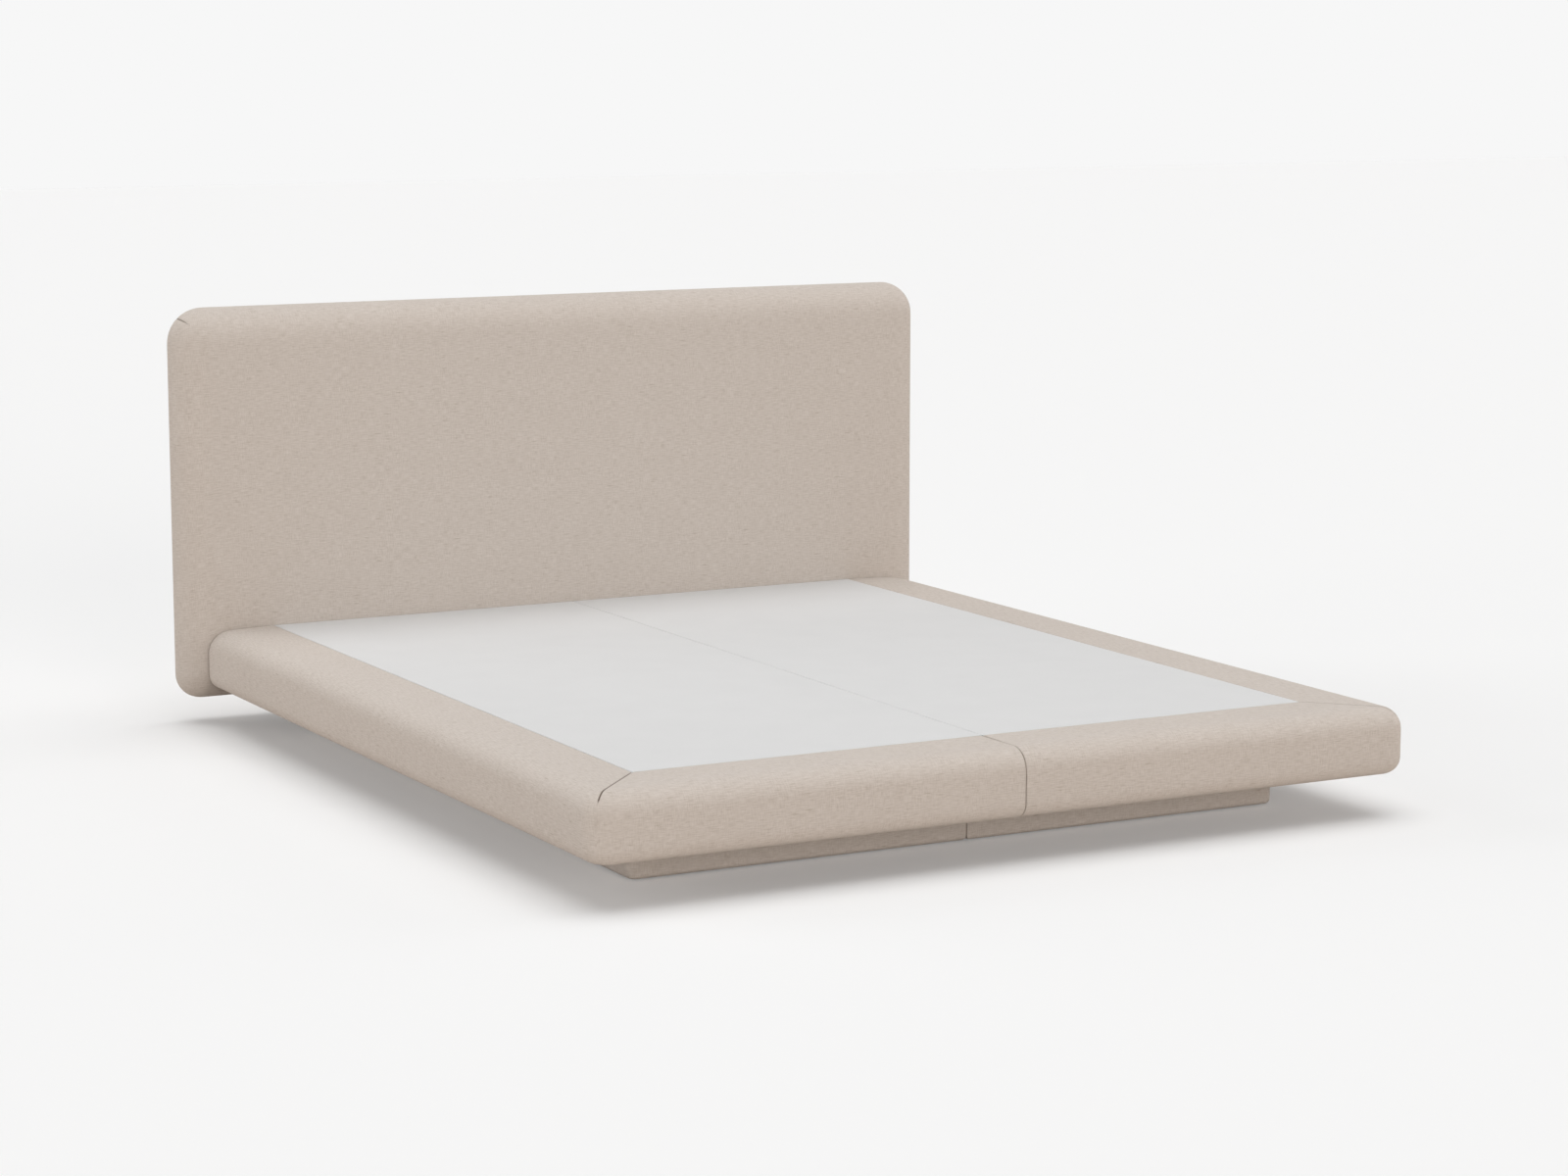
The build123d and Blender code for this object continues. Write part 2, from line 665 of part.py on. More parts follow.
# Headboard: beech spacers through the cover and foam, which keep them from being crushed at the bolts
with BuildPart() as spacers:
    with BuildSketch(Plane.XZ.offset(-headboard_front_y)):
        with Locations(*shoulder_places):
            Rectangle(spacer_width, spacer_width)
            Circle(shoulder_radius + wood_clearance, mode=Mode.SUBTRACT)
    extrude(amount=-headboard_padding)
write(spacers.part, "headboard_spacers")

# Shoulder bolts that stand out of the headboard and hook down into the keyholes
shoulder_head_y = base_head_y - keyhole_plate_thickness - shoulder_clearance
with BuildPart() as shoulder_bolts:
    with BuildSketch(Plane.XZ.offset(-shoulder_head_y)):
        with Locations(*shoulder_places):
            Circle(shoulder_head_radius)
    extrude(amount=shoulder_head_thickness)
    with BuildSketch(Plane.XZ.offset(-shoulder_head_y)):
        with Locations(*shoulder_places):
            Circle(shoulder_radius)
    extrude(amount=shoulder_head_y - frame_front_y - shoulder_bite)
write(shoulder_bolts.part, "shoulder_bolts")

# Keyhole plates let into the head rails: the bolt's head enters at the top and drops to its seat
with BuildPart() as keyhole_plates:
    with BuildSketch(Plane.XZ.offset(-base_head_y)):
        with Locations((-keyhole_x, keyhole_mid_z), (keyhole_x, keyhole_mid_z)):
            Rectangle(keyhole_plate_width, keyhole_plate_height)
            SlotCenterToCenter(
                keyhole_drop,
                2 * (shoulder_radius + shoulder_clearance),
                rotation=90,
                mode=Mode.SUBTRACT,
            )
            with Locations((0, keyhole_drop / 2)):
                Circle(shoulder_head_radius + bolt_clearance, mode=Mode.SUBTRACT)
    extrude(amount=keyhole_plate_thickness)
write(keyhole_plates.part, "keyhole_plates")
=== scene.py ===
import math

import bmesh
import bpy
import numpy as np
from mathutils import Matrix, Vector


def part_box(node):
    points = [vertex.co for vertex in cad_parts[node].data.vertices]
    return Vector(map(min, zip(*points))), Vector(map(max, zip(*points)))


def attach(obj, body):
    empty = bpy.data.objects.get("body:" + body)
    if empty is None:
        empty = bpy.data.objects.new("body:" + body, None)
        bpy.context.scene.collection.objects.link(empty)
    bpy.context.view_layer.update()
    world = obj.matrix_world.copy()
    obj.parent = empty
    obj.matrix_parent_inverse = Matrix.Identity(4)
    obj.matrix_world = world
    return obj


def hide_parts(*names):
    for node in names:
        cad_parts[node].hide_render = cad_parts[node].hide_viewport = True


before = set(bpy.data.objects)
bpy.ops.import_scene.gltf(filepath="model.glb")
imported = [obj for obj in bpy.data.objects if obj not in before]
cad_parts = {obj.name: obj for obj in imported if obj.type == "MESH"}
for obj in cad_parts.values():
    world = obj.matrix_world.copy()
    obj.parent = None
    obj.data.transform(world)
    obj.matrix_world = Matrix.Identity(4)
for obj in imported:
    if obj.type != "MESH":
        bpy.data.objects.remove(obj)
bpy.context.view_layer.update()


# ---------------------------------------------------------------------------------------------
# Frames of the base, the plinth and the headboard.
# Planed pine rails, bearers and blocks, glued and stapled, all hidden inside the upholstery.

mm = 0.001


def linear(hex_colour):
    """An sRGB hex colour as the linear colour that a shader takes."""
    parts = [int(hex_colour[i : i + 2], 16) / 255 for i in (1, 3, 5)]
    return [c / 12.92 if c <= 0.04045 else ((c + 0.055) / 1.055) ** 2.4 for c in parts] + [1]


def add_node(tree, kind, settings=(), links=()):
    """Add a shader node, set its settings, and feed its inputs with sockets or plain values."""
    made = tree.nodes.new(kind)
    for name, value in dict(settings).items():
        setattr(made, name, value)
    for name, value in dict(links).items():
        if isinstance(value, bpy.types.NodeSocket):
            tree.links.new(value, made.inputs[name])
        else:
            made.inputs[name].default_value = value
    return made


def shade_stops(ramp, stops):
    """Set the stops of a colour ramp."""
    while len(ramp.color_ramp.elements) > 1:
        ramp.color_ramp.elements.remove(ramp.color_ramp.elements[-1])
    ramp.color_ramp.elements[0].position = stops[0][0]
    ramp.color_ramp.elements[0].color = linear(stops[0][1])
    for place, colour in stops[1:]:
        ramp.color_ramp.elements.new(place).color = linear(colour)


def new_material(name):
    """A named material with an empty tree, and its output node."""
    material = bpy.data.materials.new(name)
    material.use_nodes = True
    material.node_tree.nodes.clear()
    return material, material.node_tree, add_node(material.node_tree, "ShaderNodeOutputMaterial")


def finish_nodes(names, material):
    """Give CAD nodes their material."""
    for name in names:
        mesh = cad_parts[name].data
        mesh.materials.clear()
        mesh.materials.append(material)


def wave_scale(spacing):
    """The scale at which a wave texture repeats at a spacing in millimetres."""
    return 2 * math.pi / 20 / (spacing * mm)


def grain_scale(size):
    """The scale at which a noise or cell texture has grains of a size in millimetres."""
    return 1 / (size * mm)


def sawn_pine(name, along):
    """Planed pine, grain along one axis: pale, with year rings as long arches. The real rings are
    about 3 mm apart, and are drawn 7 mm apart, so that they show."""
    material, tree, output = new_material(name)
    place = add_node(tree, "ShaderNodeTexCoord")
    turn = {"x": (0, 0, 0), "y": (0, 0, math.pi / 2), "z": (0, math.pi / 2, 0)}[along]
    turned = add_node(
        tree, "ShaderNodeMapping", {"vector_type": "TEXTURE"}, {"Vector": place.outputs["Object"], "Rotation": turn}
    )
    stretched = add_node(
        tree, "ShaderNodeMapping", {}, {"Vector": turned.outputs[0], "Scale": (0.035, 1, 1)}
    )
    sway = add_node(
        tree, "ShaderNodeTexNoise", {}, {"Vector": stretched.outputs[0], "Scale": grain_scale(70), "Detail": 3}
    )
    swayed = add_node(
        tree,
        "ShaderNodeMixRGB",
        {"blend_type": "ADD"},
        {"Fac": 0.06, "Color1": stretched.outputs[0], "Color2": sway.outputs["Color"]},
    )
    rings = add_node(
        tree,
        "ShaderNodeTexWave",
        {"wave_type": "RINGS", "rings_direction": "X", "wave_profile": "SAW"},
        {
            "Vector": swayed.outputs[0],
            "Scale": wave_scale(7),
            "Distortion": 1.5,
            "Detail": 2,
            "Detail Scale": 3,
        },
    )
    colour = add_node(tree, "ShaderNodeValToRGB", {}, {"Fac": rings.outputs["Fac"]})
    shade_stops(colour, [(0.0, "#e2cca6"), (0.55, "#dec59b"), (0.85, "#d2b384"), (1.0, "#c8a674")])
    pores = add_node(
        tree, "ShaderNodeTexNoise", {}, {"Vector": stretched.outputs[0], "Scale": grain_scale(1.1), "Detail": 2}
    )
    bump = add_node(
        tree, "ShaderNodeBump", {}, {"Strength": 0.25, "Distance": 0.2 * mm, "Height": pores.outputs["Fac"]}
    )
    rough = add_node(
        tree,
        "ShaderNodeMapRange",
        {},
        {"Value": pores.outputs["Fac"], "To Min": 0.5, "To Max": 0.7},
    )
    wood = add_node(
        tree,
        "ShaderNodeBsdfPrincipled",
        {},
        {
            "Base Color": colour.outputs[0],
            "Roughness": rough.outputs[0],
            "Normal": bump.outputs[0],
            "IOR": 1.5,
        },
    )
    tree.links.new(wood.outputs[0], output.inputs["Surface"])
    return material


sides = ("left", "right")
pine_pieces = {
    "x": ("foot_rail", "head_rail", "bearers", "plinth_cross_rails"),
    "y": ("side_rail", "centre_rail", "plinth_side_rail", "plinth_centre_rail"),
    "z": ("plinth_blocks", "headboard_outer_stile", "headboard_middle_stile"),
}
for along, pieces in pine_pieces.items():
    pine = sawn_pine("pine_grain_" + along, along)
    finish_nodes([f"{piece}_{side}" for piece in pieces for side in sides], pine)
    if along == "x":
        finish_nodes(["headboard_bottom_rail", "headboard_top_rail"], pine)


# ---------------------------------------------------------------------------------------------
# Boards: birch plywood, 15 mm under the deck, 12 mm and 5 mm in the headboard, screwed to the rails.
# Pale rotary-cut veneer on the faces, and light and dark plies in turn on the edges.


def birch_plywood(name, thickness_axis):
    """Sanded birch plywood: faces with broad wavy grain, edges with plies 1.4 mm thick."""
    material, tree, output = new_material(name)
    place = add_node(tree, "ShaderNodeTexCoord")
    stretched = add_node(
        tree, "ShaderNodeMapping", {}, {"Vector": place.outputs["Object"], "Scale": (0.9, 7, 7)}
    )
    figure = add_node(
        tree,
        "ShaderNodeTexNoise",
        {},
        {
            "Vector": stretched.outputs[0],
            "Scale": grain_scale(200),
            "Detail": 5,
            "Roughness": 0.55,
            "Distortion": 0.8,
        },
    )
    face = add_node(tree, "ShaderNodeValToRGB", {}, {"Fac": figure.outputs["Fac"]})
    shade_stops(face, [(0.3, "#e3cda4"), (0.5, "#dcc296"), (0.62, "#d2b486"), (0.75, "#e0c89c")])
    plies = add_node(
        tree,
        "ShaderNodeTexWave",
        {"wave_type": "BANDS", "bands_direction": thickness_axis},
        {"Vector": place.outputs["Object"], "Scale": wave_scale(2.8), "Distortion": 0.15},
    )
    edge = add_node(tree, "ShaderNodeValToRGB", {}, {"Fac": plies.outputs["Fac"]})
    shade_stops(edge, [(0.42, "#9a7446"), (0.58, "#dcc296")])
    way = add_node(tree, "ShaderNodeSeparateXYZ", {}, {"Vector": place.outputs["Normal"]})
    flat = add_node(tree, "ShaderNodeMath", {"operation": "ABSOLUTE"}, {0: way.outputs[thickness_axis]})
    colour = add_node(
        tree,
        "ShaderNodeMixRGB",
        {},
        {"Fac": flat.outputs[0], "Color1": edge.outputs[0], "Color2": face.outputs[0]},
    )
    rough = add_node(
        tree, "ShaderNodeMapRange", {}, {"Value": figure.outputs["Fac"], "To Min": 0.42, "To Max": 0.6}
    )
    wood = add_node(
        tree,
        "ShaderNodeBsdfPrincipled",
        {},
        {"Base Color": colour.outputs[0], "Roughness": rough.outputs[0], "IOR": 1.5},
    )
    tree.links.new(wood.outputs[0], output.inputs["Surface"])
    return material


finish_nodes(["top_board_left", "top_board_right"], birch_plywood("birch_plywood_flat", "Z"))
finish_nodes(["headboard_front_board", "headboard_back_board"], birch_plywood("birch_plywood_upright", "Y"))


# ---------------------------------------------------------------------------------------------
# Spacers in the headboard's foam: two beech blocks that the shoulder bolts pull against.
# Steamed beech, reddish, with the short dark flecks that every face of it shows.

beech, tree, output = new_material("steamed_beech")
place = add_node(tree, "ShaderNodeTexCoord")
stretched = add_node(tree, "ShaderNodeMapping", {}, {"Vector": place.outputs["Object"], "Scale": (1, 0.18, 1)})
flecks = add_node(tree, "ShaderNodeTexVoronoi", {}, {"Vector": stretched.outputs[0], "Scale": grain_scale(2)})
grain = add_node(
    tree, "ShaderNodeTexNoise", {}, {"Vector": stretched.outputs[0], "Scale": grain_scale(8.3), "Detail": 4}
)
tone = add_node(
    tree,
    "ShaderNodeMath",
    {"operation": "MULTIPLY_ADD"},
    {0: flecks.outputs["Distance"], 1: 0.5, 2: grain.outputs["Fac"]},
)
colour = add_node(tree, "ShaderNodeValToRGB", {}, {"Fac": tone.outputs[0]})
shade_stops(colour, [(0.35, "#a8713f"), (0.6, "#c08a58"), (0.9, "#cb9a6a")])
wood = add_node(tree, "ShaderNodeBsdfPrincipled", {}, {"Base Color": colour.outputs[0], "Roughness": 0.5, "IOR": 1.5})
tree.links.new(wood.outputs[0], output.inputs["Surface"])
finish_nodes(["headboard_spacers"], beech)


# ---------------------------------------------------------------------------------------------
# Bolts, nuts and keyhole plates: turned and stamped steel, bright zinc plated.
# Zinc shows a pale, faintly bluish metal with a cloudy sheen.

zinc, tree, output = new_material("zinc_plated_steel")
place = add_node(tree, "ShaderNodeTexCoord")
clouds = add_node(
    tree, "ShaderNodeTexNoise", {}, {"Vector": place.outputs["Object"], "Scale": grain_scale(4.5), "Detail": 3}
)
tint = add_node(tree, "ShaderNodeValToRGB", {}, {"Fac": clouds.outputs["Fac"]})
shade_stops(tint, [(0.35, "#b9bcc0"), (0.65, "#cdd0d3")])
gloss = add_node(tree, "ShaderNodeMapRange", {}, {"Value": clouds.outputs["Fac"], "To Min": 0.28, "To Max": 0.46})
metal = add_node(
    tree, "ShaderNodeBsdfPrincipled", {}, {"Base Color": tint.outputs[0], "Metallic": 1, "Roughness": gloss.outputs[0]}
)
tree.links.new(metal.outputs[0], output.inputs["Surface"])
finish_nodes(
    ["shoulder_bolts", "keyhole_plates", "coupling_bolts", "coupling_nuts", "plinth_bolts", "glide_nuts"], zinc
)


# ---------------------------------------------------------------------------------------------
# Levelling glides: eight black nylon feet with six flats for a spanner, screwed up into the plinth.
# Moulded nylon has a fine spark-eroded grain.

nylon, tree, output = new_material("moulded_nylon")
place = add_node(tree, "ShaderNodeTexCoord")
grain = add_node(
    tree, "ShaderNodeTexNoise", {}, {"Vector": place.outputs["Object"], "Scale": grain_scale(0.7), "Detail": 2}
)
tint = add_node(tree, "ShaderNodeValToRGB", {}, {"Fac": grain.outputs["Fac"]})
shade_stops(tint, [(0.3, "#1b1b1c"), (0.7, "#242425")])
bump = add_node(tree, "ShaderNodeBump", {}, {"Strength": 0.3, "Distance": 0.1 * mm, "Height": grain.outputs["Fac"]})
plastic = add_node(
    tree,
    "ShaderNodeBsdfPrincipled",
    {},
    {"Base Color": tint.outputs[0], "Roughness": 0.48, "IOR": 1.53, "Normal": bump.outputs[0]},
)
tree.links.new(plastic.outputs[0], output.inputs["Surface"])
glides = [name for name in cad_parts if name.startswith(("glide_foot", "glide_head"))]
finish_nodes(glides, nylon)


# ---------------------------------------------------------------------------------------------
# Plinth covers: linen over 12 mm wadding, wrapped round the plinth's rails and stapled under them.
# Each half has its own cover, and they meet in a seam on the centre line.

linen, tree, output = new_material("woven_linen")
# A heavy linen and cotton weave: matt warm beige, uneven yarn both ways, and a few faint slubs.
# The real threads are about 0.8 mm apart, too fine to show here, so the streaks are drawn about
# three times as coarse.
chart = add_node(tree, "ShaderNodeUVMap", {"uv_map": "cloth"})


def yarn(along, across, place, detail):
    """Uneven streaks of the given length and width in millimetres, from 0 to 1."""
    scale = (grain_scale(along), grain_scale(across), 1)
    size = add_node(
        tree, "ShaderNodeMapping", {}, {"Vector": chart.outputs[0], "Scale": scale, "Location": (place, place, 0)}
    )
    noise = add_node(
        tree,
        "ShaderNodeTexNoise",
        {"noise_dimensions": "2D"},
        {"Vector": size.outputs[0], "Scale": 1, "Detail": detail, "Roughness": 0.6},
    )
    return noise.outputs["Fac"]


def joined(operation, first, second, third=0):
    """The result of one sum on sockets or plain values."""
    return add_node(tree, "ShaderNodeMath", {"operation": operation}, {0: first, 1: second, 2: third}).outputs[0]


weft, warp = yarn(22, 2.2, 0, 3), yarn(2.2, 17, 5, 3)
warp_shows = joined("MULTIPLY", yarn(90, 60, 3, 1), 1.3)
streaks = joined("MULTIPLY_ADD", joined("SUBTRACT", warp, 0.5), warp_shows, weft)
mottle = joined("MULTIPLY_ADD", yarn(110, 70, 9, 1), 0.08, streaks)
tone = add_node(tree, "ShaderNodeMapRange", {}, {"Value": mottle, "From Min": 0.24, "From Max": 0.84})
beige = add_node(tree, "ShaderNodeValToRGB", {}, {"Fac": tone.outputs[0]})
shade_stops(beige, [(0.0, "#bfb5ac"), (0.5, "#cbc2ba"), (1.0, "#d4ccc5")])
slubs = add_node(tree, "ShaderNodeMapRange", {}, {"Value": yarn(30, 3, 7, 0), "From Min": 0.8, "From Max": 1.0})
with_slubs = add_node(
    tree, "ShaderNodeMixRGB", {}, {"Fac": slubs.outputs[0], "Color1": beige.outputs[0], "Color2": linear("#b0a498")}
)
# Painted shade: along the darts and the sewn edges the cloth is darkened towards this brown. It stands in for the
# shadow in their creases, which is too narrow for the mesh to cast.
seam_shade = add_node(tree, "ShaderNodeAttribute", {"attribute_name": "seam_shade"})
with_seam_shade = add_node(
    tree,
    "ShaderNodeMixRGB",
    {},
    {"Fac": seam_shade.outputs["Fac"], "Color1": with_slubs.outputs[0], "Color2": linear("#544439")},
)
height = joined("ADD", streaks, slubs.outputs[0])
bump = add_node(tree, "ShaderNodeBump", {}, {"Strength": 0.3, "Distance": 0.4 * mm, "Height": height})
cloth_shader = add_node(
    tree,
    "ShaderNodeBsdfPrincipled",
    {},
    {
        "Base Color": with_seam_shade.outputs[0],
        "Roughness": 0.95,
        "Specular IOR Level": 0.1,
        "Sheen Weight": 0.02,
        "Sheen Roughness": 0.5,
        "Normal": bump.outputs[0],
    },
)
tree.links.new(cloth_shader.outputs[0], output.inputs["Surface"])


def spaced(start, end, step):
    """Evenly spaced places from start to end, about a step apart, both ends in."""
    return np.linspace(start, end, max(1, round(abs(end - start) / step)) + 1)


def ring(low, high, inset, radii, across, up, arcs):
    """Points once round a rounded rectangle drawn in by an inset, the first one again at the end,
    and the direction that each faces. across and up are the shares of the straight runs, and arcs
    the angles, in degrees from 0 to 90, of the points on each corner."""
    corners = [(high[0], high[1], 0), (low[0], high[1], 90), (low[0], low[1], 180), (high[0], low[1], 270)]
    inward = [(-1, -1), (1, -1), (1, 1), (-1, 1)]
    runs = [1 - across[::-1], 1 - up[::-1], across, up]
    points, facing = [], []
    for k in range(4):
        x, y, start = corners[k]
        centre = np.array([x, y]) + np.array(inward[k]) * (inset + radii[k])
        angles = np.radians(start + np.array(arcs))
        ways = np.stack([np.cos(angles), np.sin(angles)], 1)
        points.append(centre + ways * radii[k])
        facing.append(ways)
        following = (k + 1) % 4
        next_x, next_y, next_start = corners[following]
        next_centre = np.array([next_x, next_y]) + np.array(inward[following]) * (inset + radii[following])
        begin = centre + ways[-1] * radii[k]
        end = next_centre + ways[-1] * radii[following]
        shares = runs[k][1:-1]
        points.append(begin + (end - begin) * shares[:, None])
        facing.append(np.repeat(ways[-1:], len(shares), 0))
    points, facing = np.concatenate(points), np.concatenate(facing)
    return np.vstack([points, points[:1]]), np.vstack([facing, facing[:1]])


def sew(name, strips):
    """Make one piece of cloth from strips. A strip is (points, chart, seam shade): rows of points in millimetres, their
    places on the flat cloth in millimetres, and how dark the painted shade along its seams is there, standing in for
    the shadow in their creases.
    A point that is not a number leaves a hole."""
    cloth = bmesh.new()
    chart_layer = cloth.loops.layers.uv.new("cloth")
    seam_shade_layer = cloth.verts.layers.float.new("seam_shade")
    for points, chart, seam_shade in strips:
        rows, columns = points.shape[:2]
        made = {}
        for i in range(rows):
            for j in range(columns):
                if not np.isnan(points[i, j]).any():
                    made[i, j] = cloth.verts.new(points[i, j] * mm)
                    made[i, j][seam_shade_layer] = seam_shade[i, j]
        for i in range(rows - 1):
            for j in range(columns - 1):
                around = [(i, j), (i, j + 1), (i + 1, j + 1), (i + 1, j)]
                if all(place in made for place in around):
                    face = cloth.faces.new([made[place] for place in around])
                    face.smooth = True
                    for loop, place in zip(face.loops, around):
                        loop[chart_layer].uv = chart[place] * mm
    bmesh.ops.remove_doubles(cloth, verts=cloth.verts, dist=0.01 * mm)
    bmesh.ops.recalc_face_normals(cloth, faces=cloth.faces)
    mesh = bpy.data.meshes.new(name)
    cloth.to_mesh(mesh)
    cloth.free()
    piece = bpy.data.objects.new(name, mesh)
    bpy.context.scene.collection.objects.link(piece)
    return piece


def in_mm(box):
    """The low and the high corner of a box, in millimetres."""
    return [np.array(corner) / mm for corner in box]


def lying(points, z):
    """Points of a plan, at a height."""
    return np.concatenate([points, np.full((*points.shape[:-1], 1), z)], -1)


def unsewn(points, chart):
    """A strip of cloth without painted seam shade."""
    return points, chart, np.zeros(points.shape[:2])


def mirrored(strips):
    """The strips of a right half as those of the left half."""
    flip = np.array([-1, 1, 1])
    chart_flip = np.array([-1, 1])
    return [(points[:, ::-1] * flip, chart[:, ::-1] * chart_flip, seam_shade[:, ::-1]) for points, chart, seam_shade in strips]


def thicken(piece, thickness):
    """Smooth a piece of cloth and give it its thickness, if it has one, inwards."""
    smooth = piece.modifiers.new("smooth", "SUBSURF")
    smooth.levels = smooth.render_levels = 1
    if thickness:
        body = piece.modifiers.new("thickness", "SOLIDIFY")
        body.thickness = thickness * mm
        body.offset = -1


def rounded(radius, degrees):
    """Points on a quarter rounding, at angles in degrees: how far each is in from the side where it
    starts, and how far short of the side where it ends."""
    return [(radius * (1 - math.cos(a)), radius * (1 - math.sin(a))) for a in np.radians(degrees)]


cloth_thickness = 1.6
plinth_low, plinth_high = in_mm(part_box("plinth_cover_right"))
plinth_rounding = 11
plinth_corner = 20
plinth_seam_corner = 3
plinth_turned_under = 38
plinth_arcs = np.linspace(0, 90, 9)
across, up = spaced(0, 1, 0.04), spaced(0, 1, 0.02)
# how far in each row of the cover is, and its height: down the side, round the edge and under
stages = [(0, z) for z in (plinth_high[2], 65, 40, plinth_low[2] + plinth_rounding)]
stages += [(inset, plinth_low[2] + rise) for inset, rise in rounded(plinth_rounding, [18, 36, 54, 72, 90])]
stages += [(20, plinth_low[2]), (plinth_turned_under, plinth_low[2])]
rows, chart_rows = [], []
fallen = 0
last = stages[0]
for inset, z in stages:
    outer_radius = max(plinth_corner - inset, 1)
    seam_radius = max(plinth_seam_corner - inset, 0.2)
    radii = [outer_radius, seam_radius, seam_radius, outer_radius]
    points, _ = ring(plinth_low[:2], plinth_high[:2], inset, radii, across, up, plinth_arcs)
    rows.append(lying(points, z))
    fallen += math.hypot(inset - last[0], z - last[1])
    last = (inset, z)
    if len(rows) == 1:
        run = np.concatenate([[0], np.cumsum(np.linalg.norm(np.diff(points, axis=0), axis=1))])
    chart_rows.append(np.column_stack([run, np.full(len(points), -fallen)]))
plinth_strip = unsewn(np.array(rows), np.array(chart_rows))
for side in sides:
    strips = [plinth_strip] if side == "right" else mirrored([plinth_strip])
    cover = sew(f"plinth_upholstery_{side}", strips)
    cover.data.materials.append(linen)
    thicken(cover, cloth_thickness)
    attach(cover, "bed")
    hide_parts(f"plinth_cover_{side}")


# ---------------------------------------------------------------------------------------------
# Cloth under the base: black spun polypropylene, stretched and stapled between the outer bearers.
# It keeps dust out of the frame, and sags by a millimetre or two between its staples.

polypropylene, tree, output = new_material("spun_polypropylene")
place = add_node(tree, "ShaderNodeTexCoord")
dots = add_node(tree, "ShaderNodeTexVoronoi", {}, {"Vector": place.outputs["Object"], "Scale": grain_scale(1.7)})
tint = add_node(tree, "ShaderNodeValToRGB", {}, {"Fac": dots.outputs["Distance"]})
shade_stops(tint, [(0.1, "#1d1d1e"), (0.6, "#2d2d2e")])
bump = add_node(tree, "ShaderNodeBump", {}, {"Strength": 0.4, "Distance": 0.2 * mm, "Height": dots.outputs["Distance"]})
spun = add_node(
    tree,
    "ShaderNodeBsdfPrincipled",
    {},
    {"Base Color": tint.outputs[0], "Roughness": 0.8, "Specular IOR Level": 0.3, "Normal": bump.outputs[0]},
)
tree.links.new(spun.outputs[0], output.inputs["Surface"])

cloth_sag, staple_gap = 1.4, 0.4
for side in sides:
    low, high = in_mm(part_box(f"underside_cloth_{side}"))
    xs, ys = spaced(low[0], high[0], 20), spaced(low[1], high[1], 20)
    grid_y, grid_x = np.meshgrid(ys, xs, indexing="ij")
    middle = 1 - (2 * (grid_x - low[0]) / (high[0] - low[0]) - 1) ** 2
    middle *= 1 - (2 * (grid_y - low[1]) / (high[1] - low[1]) - 1) ** 8
    grid_z = high[2] - staple_gap - cloth_sag * middle
    points, chart = np.stack([grid_x, grid_y, grid_z], 2), np.stack([grid_x, grid_y], 2)
    dust_cloth = sew(f"dust_cloth_{side}", [unsewn(points[:, ::-1], chart[:, ::-1])])
    dust_cloth.data.materials.append(polypropylene)
    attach(dust_cloth, "bed")
    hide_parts(f"underside_cloth_{side}")


# ---------------------------------------------------------------------------------------------
# Rim covers: one piece of linen over the foam round each base half, tucked in at the deck, wrapped
# round the side and stapled underneath. A mitred dart takes up the fullness at the foot corner.


def settle(piece, held, fullness):
    """Let the foam push the cloth out between the places where it is held: a short cloth simulation,
    applied, and scaled so that the fullest place stands out by the given number of millimetres."""
    count = len(piece.data.vertices)
    before = np.empty(count * 3)
    piece.data.vertices.foreach_get("co", before)
    before = before.reshape(-1, 3)
    normals = np.empty(count * 3)
    piece.data.vertex_normals.foreach_get("vector", normals)
    normals = normals.reshape(-1, 3)
    stitched = np.empty(count, dtype=np.float32)
    piece.data.attributes["seam_shade"].data.foreach_get("value", stitched)
    sewn_from = 0.3
    pinned = held(before / mm) | (stitched > sewn_from)
    group = piece.vertex_groups.new(name="held")
    group.add([int(i) for i in np.flatnonzero(pinned)], 1, "REPLACE")
    # heavy furniture linen, pushed out lightly by the foam instead of hanging
    cloth = piece.modifiers.new("cloth", "CLOTH")
    cloth.settings.vertex_group_mass = "held"
    cloth.settings.quality = 6
    cloth.settings.mass = 0.3
    cloth.settings.tension_stiffness = cloth.settings.compression_stiffness = 12
    cloth.settings.shear_stiffness = 4
    cloth.settings.bending_stiffness = 0.6
    cloth.settings.use_pressure = True
    cloth.settings.uniform_pressure_force = 6
    cloth.settings.effector_weights.gravity = 0
    cloth.collision_settings.use_collision = False
    frames = 16
    cloth.point_cache.frame_start, cloth.point_cache.frame_end = 1, frames
    for step in range(1, frames + 1):
        bpy.context.scene.frame_set(step)
    shaped = piece.evaluated_get(bpy.context.evaluated_depsgraph_get())
    after = np.empty(count * 3)
    shaped.data.vertices.foreach_get("co", after)
    piece.modifiers.remove(cloth)
    piece.vertex_groups.remove(group)
    bpy.context.scene.frame_set(1)
    # the foam never lets the cloth sink in
    move = after.reshape(-1, 3) - before
    outward = np.sum(move * normals, 1)
    move -= normals * np.minimum(outward, 0)[:, None]
    move *= fullness * mm / max(outward.max(), 1e-6)
    piece.data.vertices.foreach_set("co", (before + move).ravel())
    piece.data.update()


rim_low, rim_high = in_mm(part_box("rim_cover_right"))
deck_low, deck_high = in_mm(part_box("deck_pad_right"))
# a hairline gap round the pad, then the roundings of the rim: along its top and bottom, round its
# corner in plan, at the tuck, and where it turns in at the split and the headboard
deck_gap = 1
deck_edge = np.array([deck_high[0] + deck_gap, deck_low[1] - deck_gap])
board_top = deck_low[2]
rim_top, rim_bottom = 47, 36
rim_corner = 56
tuck_rounding = 2.5
split_rounding = 3
head_rounding = 3
plinth_lap = 12
underside_edge = np.array([plinth_high[0] - plinth_lap, plinth_low[1] + plinth_lap])
underside_head = plinth_high[1] - plinth_lap
corner_middle = np.array([rim_high[0] - rim_corner, rim_low[1] + rim_corner])
head_end = rim_high[1] - head_rounding
split_end = rim_low[0] + split_rounding

